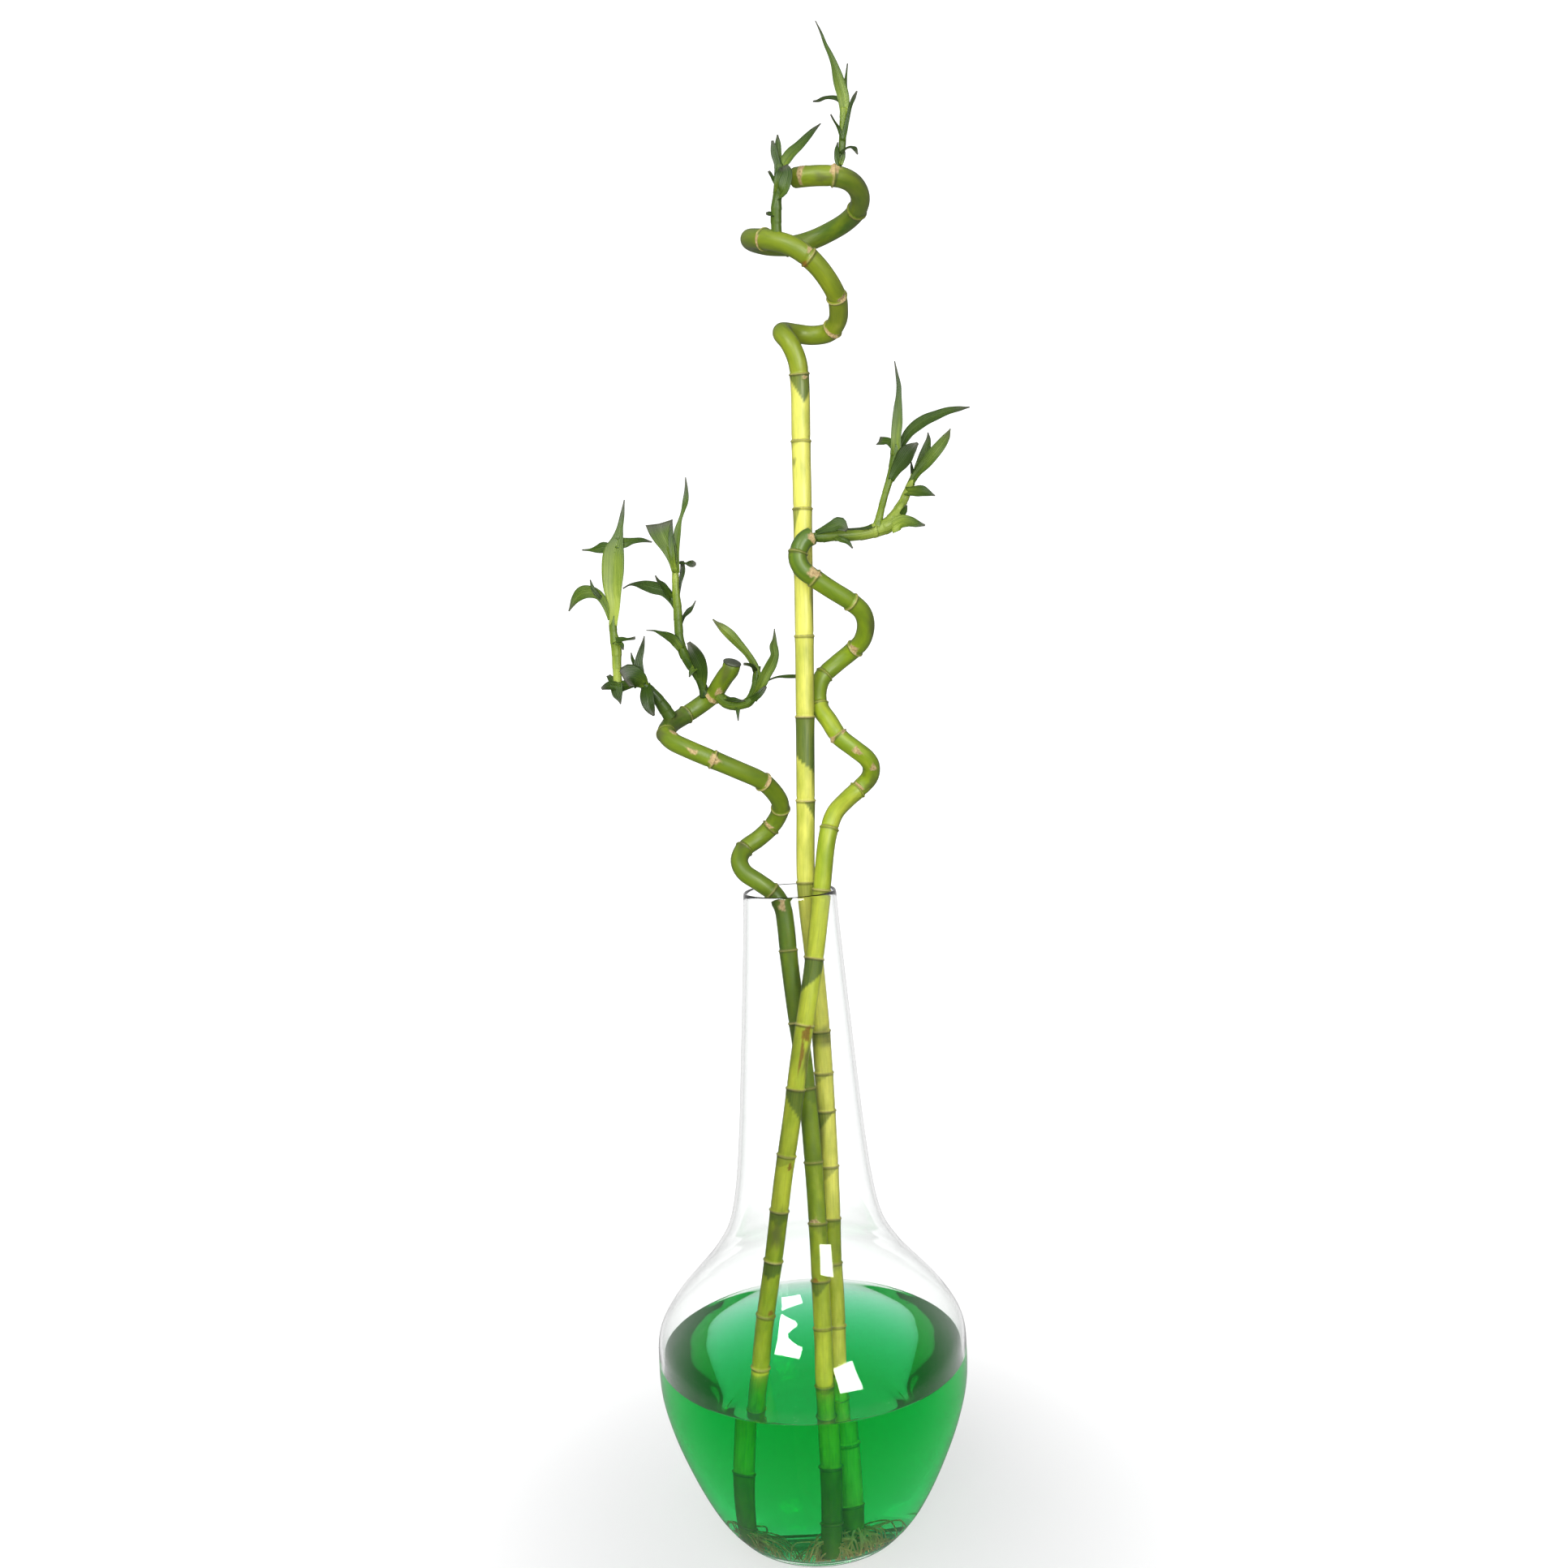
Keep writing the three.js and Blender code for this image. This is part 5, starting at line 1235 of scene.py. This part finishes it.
# Left shoot
#
# This tall shoot grew up from a bud below the left cane's last ring. It is one green stem
# with leaves all the way up, and the top leaf is broad and still half rolled.
grow_shoot("left_shoot", "shoot_left", [
    stem([
        [-57.5, 24, 650.5, 4.2], [-59, 22, 658.5, 3.5], [-62, 19, 666.5, 3.5],
        [-67, 17.5, 675.5, 4], [-71.5, 16, 684, 3.9], [-74, 15, 694, 3.4], [-74.5, 15, 705, 3.4],
        [-74.5, 15, 718.5, 3.4], [-75, 15, 732, 2.9], [-74.5, 15, 747.5, 2.7],
    ], (0.15, 0.95)),
    leaf([
        [-58.5, 21.5, 657, 5.5], [-58, 13, 670, 9], [-60.5, 9, 679.5, 11], [-64, 6.5, 687, 8],
        [-67, 6, 692.5, 3],
    ], (-0.2, -1, 0.3), (0.5, -0.1)),
    leaf([[-62.5, 14, 674, 6], [-66, 9, 670, 4.5], [-68, 7, 666, 0.9]], (0, -1, 0.4), (0.8, 0.05)),
    leaf([
        [-74, 13, 687.5, 5.5], [-78, 10, 694, 7.5], [-82.5, 6, 697.5, 6.5], [-87.5, 2, 700, 3.5],
        [-92, -1, 702, 1.5], [-97.5, -4, 702.5, 0.8],
    ], (0.1, -1, 0.2), (0.6, 0.05)),
    leaf([
        [-74.5, 17, 717.5, 5], [-78.5, 20, 725.5, 6.5], [-84.5, 24, 732.5, 9],
        [-92.5, 27, 735.5, 10], [-100, 29, 738, 8], [-106.5, 31, 739.5, 4],
        [-111.5, 32, 739.5, 1.5], [-117, 33, 737, 0.8],
    ], (-0.1, -1, 0.3), (0.35, 0.2)),
    leaf([
        [-79.5, 21, 727, 5], [-84.5, 13, 736, 5.5], [-87.5, 10, 739.5, 3], [-89.5, 8, 744, 0.9],
    ], (0.2, -1, 0.3), (0.5, -0.1)),
    leaf([
        [-74, 16, 702.5, 3], [-70.5, 22, 712, 3], [-66.5, 25, 716.5, 4.5], [-63.5, 27, 720, 1.9],
        [-61, 28, 724.5, 0.8],
    ], (-0.3, -1, 0.2), (0.15, 0.1)),
    leaf([
        [-73, 12.5, 753, 2.5], [-66.5, 18, 752.5, 1.8], [-63.5, 17, 752, 4.5],
        [-60.5, 16.5, 751.5, 5.5], [-58.5, 16, 751.5, 2.5],
    ], (0, -1, 0.2), (0.25, -0.1)),
    leaf([
        [-74.5, 16, 724, 2.5], [-72, 21, 738, 3], [-69.5, 22, 747.5, 4], [-69.5, 22, 755, 3],
    ], (0.2, -1, 0), (0.2, 0.15)),
    leaf([
        [-75, 12, 746.5, 4.5], [-76, 11, 755.5, 7.5], [-78.5, 11, 764.5, 12], [-82, 12, 772.5, 16],
        [-84, 13, 778, 18.5], [-85, 14, 783, 20.5],
    ], (0.1, -1, 0.05), (0.7, 0.45)),
    leaf([
        [-75, 14.5, 743.5, 3], [-75.5, 8, 757, 4], [-76, 8.5, 770, 4], [-75.5, 10, 778.5, 3],
        [-74.5, 11, 785.5, 0.9],
    ], TO_CAMERA, (0.9, -0.1)),
    leaf([
        [-73.5, 13, 745.5, 5], [-73, 12, 760, 5], [-71, 11, 775.5, 5.5], [-68.5, 11, 784.5, 3],
        [-66, 11, 791, 3], [-63.5, 10, 798.5, 4.5], [-62.5, 10, 806.5, 3], [-62.5, 9, 816, 0.8],
    ], TO_CAMERA, (0.65, 0.35)),
])

# Inner shoot
#
# This shoot grew from the left cane's last bend, hangs down a little and hooks up in front
# of the tall cane. It is a green stem with a few narrow leaves and one thin twig to the right.
grow_shoot("inner_shoot", "shoot_inner", [
    stem([
        [-46.5, 19, 650, 4.1], [-42.5, 16, 646.5, 4.7], [-37, 12, 643.5, 4.4], [-30.5, 9, 643, 3.6],
        [-24, 7.5, 645, 3.8], [-20, 7, 650.5, 3.8], [-18, 6, 657, 3.2], [-17, 6, 665, 2.8],
        [-15.5, 6, 672, 2.5],
    ], (0.7, 0.35)),
    leaf([
        [-15.5, 6, 660, 5.5], [-18, 3, 671.5, 6], [-23, 0, 681, 5.5], [-29, -3, 688.5, 7],
        [-35, -6, 695.5, 8.5], [-41, -8, 701.5, 6.5], [-44.5, -10, 705, 3], [-47, -11, 708, 0.9],
    ], (0.3, -1, 0.3), (0.6, 0.85)),
    leaf([
        [-20.5, 7, 647, 6], [-13.5, 2, 658.5, 8], [-9.5, 1, 666, 8.5], [-5.5, 0, 672.5, 8.5],
        [-2.5, -1, 679.5, 6.5], [-3, -2, 686, 6.5], [-2, -3, 691, 3.5], [-1.5, -4, 699, 0.8],
    ], (0.3, -1, 0), (0.65, 0.5)),
    leaf([
        [-17.5, 6.5, 657, 3.5], [-8, 13, 660.5, 1.5], [-1, 18, 662.5, 2], [6.5, 21, 662.5, 3],
        [19, 23, 662, 3],
    ], (0, -1, 0.6), (0.2, 0.25)),
    leaf([
        [-23, 6, 645.5, 5.5], [-16.5, -1, 649.5, 5], [-12.5, -1, 653.5, 4], [-10, 0, 656, 2],
    ], (0.4, -1, 0.3), (0.45, -0.1)),
    leaf([
        [-17, 5.5, 666, 5], [-20, -1, 671.5, 3.5], [-23, -4, 673, 3], [-26, -6, 673.5, 2],
    ], (0, -1, 0.5), (0.05, 0)),
    leaf([
        [-32.5, 10, 643.5, 4.5], [-32.5, 5, 637.5, 3], [-32.5, 4, 631, 0.8],
    ], (0.2, -1, 0), (0.6, -0.1)),
    leaf([
        [-41, 12, 647.5, 3.5], [-36, 6, 647, 4.5], [-31, 3, 646, 3], [-26.5, 3, 646, 1.2],
    ], (0, -1, 0.8), (0.2, 0.05)),
])

# Floor
#
# The vase stands on a pale round floor, which keeps a faint soft shadow near the vase and
# fades out into the white wall behind.
FLOOR_RADIUS = 2400
FLOOR_DEPTH = 0.2
FLOOR_FACETS = 96
FLOOR_PALE = ((0.86, 0.86, 0.86, 1), (0.9, 0.9, 0.9, 1))
FADE_START = 0.1
FADE_END = 0.55


def blended(tree, share, first, second):
    """A shader between two others."""
    shaders = {0: share, 1: first.outputs[0], 2: second.outputs[0]}
    return add_node(tree, "ShaderNodeMixShader", shaders)


def floor_material():
    """Matt pale board. Through glass it looks lit, and mirrored in glass it looks dim."""
    material, tree, shader = node_tree("pale_floor")
    colour = mix_colours(tree, noise(tree, 6.0), *FLOOR_PALE)
    tree.links.new(colour, shader.inputs["Base Color"])
    shader.inputs["Roughness"].default_value = 0.8
    shader.inputs["Specular IOR Level"].default_value = 0.1
    ray = add_node(tree, "ShaderNodeLightPath")
    lit = add_node(tree, "ShaderNodeEmission", {"Color": (1.0, 1.0, 1.0, 1), "Strength": 1.0})
    dim = add_node(tree, "ShaderNodeEmission", {"Color": (1.0, 1.0, 1.0, 1), "Strength": 0.18})
    glow = scaled(tree, ray.outputs["Is Transmission Ray"], 0.4, 0.6)
    board = blended(tree, glow, shader, lit)
    board = blended(tree, ray.outputs["Is Reflection Ray"], board, dim)
    place = add_node(tree, "ShaderNodeTexCoord").outputs["Object"]
    distance = add_node(tree, "ShaderNodeVectorMath", {0: place}, operation="LENGTH")
    fade = smooth_share(tree, distance.outputs["Value"], FADE_START, FADE_END)
    faded = blended(tree, fade, board, add_node(tree, "ShaderNodeBsdfTransparent"))
    tree.links.new(faded.outputs[0], tree.nodes["Material Output"].inputs["Surface"])
    return material


floor_profile = [(radius, -FLOOR_DEPTH) for radius in (0.1, 200, 600, FLOOR_RADIUS)]
floor_points, floor_faces = turned(floor_profile, FLOOR_FACETS)
floor = add_mesh("studio_floor", floor_points, floor_faces, {})
floor.data.materials.append(floor_material())

# Lights of a bright room
#
# A high window on the left and a tall window on the right show in the glass. A wide pale wall
# behind the camera and a soft ceiling light the plant from the front and above.
WHITE_WALL = 1.3
# what glass and water mirror: the room in front and behind, and what shows in the water's
# surface and from within the water
MIRRORED_ROOM = (0.06, 0.9)
MIRRORED_ON_WATER = (0.12, 0.14, 0.13, 1)
MIRRORED_IN_WATER = 1.0
# light off the water's surface crosses four faces of glass, light from within it more, and
# light off the near wall of the vase two at most
OFF_WATER_CROSSINGS = 2.5
IN_WATER_CROSSINGS = 4.5
# the room as it lights the plant, the first of a pair outside the glass and the other inside
NEAR_ROOM = 0.16
FAR_ROOM = (0.3, 0.6)
CEILING = ((0.4, 0.41, 0.42, 1), (0.95, 0.96, 0.98, 1))


def grey(value):
    """A colour of equal parts."""
    return value, value, value, 1


def seen_straight(tree):
    """One where light reaches the eye through nothing, or only straight through glass and water."""
    ray = add_node(tree, "ShaderNodeLightPath")
    turned_back = arithmetic(
        tree, "SUBTRACT", ray.outputs["Ray Depth"], ray.outputs["Transmission Depth"]
    )
    return arithmetic(tree, "LESS_THAN", turned_back, 1.5)


def room_light():
    """A dim room round the plant, and a white wall that shows behind it and through glass.

    The room is brighter for what stands inside the glass, dim where the water's surface
    mirrors it, and bright again for light that was mirrored within the water.
    """
    world = bpy.data.worlds.new("bright_room")
    bpy.context.scene.world = world
    world.use_nodes = True
    tree = world.node_tree
    background = tree.nodes["Background"]
    heading = add_node(tree, "ShaderNodeTexCoord").outputs["Generated"]
    split = add_node(tree, "ShaderNodeSeparateXYZ", {0: heading})
    behind = smooth_share(tree, split.outputs["Y"], -0.3, 0.9)
    above = smooth_share(tree, split.outputs["Z"], 0.0, 0.9)
    ray = add_node(tree, "ShaderNodeLightPath")
    crossed = ray.outputs["Transmission Depth"]
    through = arithmetic(tree, "GREATER_THAN", crossed, 0.5)
    unscattered = arithmetic(tree, "LESS_THAN", ray.outputs["Diffuse Depth"], 0.5)
    mirrored = arithmetic(tree, "MULTIPLY", ray.outputs["Is Singular Ray"], unscattered)
    in_water = arithmetic(tree, "GREATER_THAN", crossed, IN_WATER_CROSSINGS)
    off_water = arithmetic(tree, "GREATER_THAN", crossed, OFF_WATER_CROSSINGS)
    shine = mix_colours(tree, behind, *map(grey, MIRRORED_ROOM))
    shine = mix_colours(tree, off_water, shine, MIRRORED_ON_WATER)
    shine = mix_colours(tree, in_water, shine, grey(MIRRORED_IN_WATER))
    far_wall = mix_colours(tree, through, *map(grey, FAR_ROOM))
    ceiling = mix_colours(tree, through, *CEILING)
    room = mix_colours(tree, behind, grey(NEAR_ROOM), far_wall)
    room = mix_colours(tree, above, room, ceiling)
    room = mix_colours(tree, mirrored, room, shine)
    colour = mix_colours(tree, seen_straight(tree), room, grey(WHITE_WALL))
    tree.links.new(colour, background.inputs["Color"])
    background.inputs["Strength"].default_value = 1.0


def window(name, place, target, width, height, power, mirrored):
    """A bright panel. One that is mirrored shows in glass and lights through it.

    One that isn't only lights what stands outside the glass.
    """
    lamp = bpy.data.lights.new(name, "AREA")
    lamp.shape = "RECTANGLE"
    lamp.size = width
    lamp.size_y = height
    lamp.energy = power
    holder = bpy.data.objects.new(name, lamp)
    holder.visible_diffuse = not mirrored
    holder.visible_glossy = mirrored
    holder.visible_transmission = mirrored
    holder.location = place
    toward = Vector(target) - Vector(place)
    holder.rotation_euler = toward.to_track_quat("-Z", "Y").to_euler()
    bpy.context.scene.collection.objects.link(holder)


room_light()
window("high_left_window", (-0.42, -0.9, 1.4), (0, -0.08, 0.2), 0.46, 0.2, 8, True)
window("tall_right_window", (0.72, -1.54, 1.1), (0, -0.1, 0.9), 0.5, 1.0, 34, True)
window("wall_behind_the_camera", (-0.35, -1.9, 0.7), (0, 0, 0.75), 1.3, 1.2, 36, False)
window("soft_ceiling", (-0.5, -0.9, 2.0), (0, 0, 0.7), 1.2, 0.9, 8, False)

# Camera
#
# The photograph was taken from about a metre away, a little above the mouth of the vase,
# tilted down and rolled. The focal length was worked out in the photograph's pixels.
CAMERA_PLACE = Vector((-0.0005, -1.045, 0.662))
PITCH = math.radians(4.4)
ROLL = math.radians(-2.9)
SENSOR_WIDTH = 36
FOCAL_PIXELS = 1700
PHOTO_PIXELS = 1932
forward = Vector((0, math.cos(PITCH), -math.sin(PITCH)))
level = Vector((1, 0, 0))
upward = level.cross(forward)
right = level * math.cos(ROLL) + upward * math.sin(ROLL)
top = -level * math.sin(ROLL) + upward * math.cos(ROLL)
lens = bpy.data.cameras.new("camera")
lens.sensor_width = SENSOR_WIDTH
lens.lens = SENSOR_WIDTH * FOCAL_PIXELS / PHOTO_PIXELS
camera = bpy.data.objects.new("camera", lens)
turn = Matrix((right, top, -forward)).transposed().to_4x4()
camera.matrix_world = Matrix.Translation(CAMERA_PLACE) @ turn
bpy.context.scene.collection.objects.link(camera)
bpy.context.scene.camera = camera
bpy.context.scene.view_settings.view_transform = "Standard"
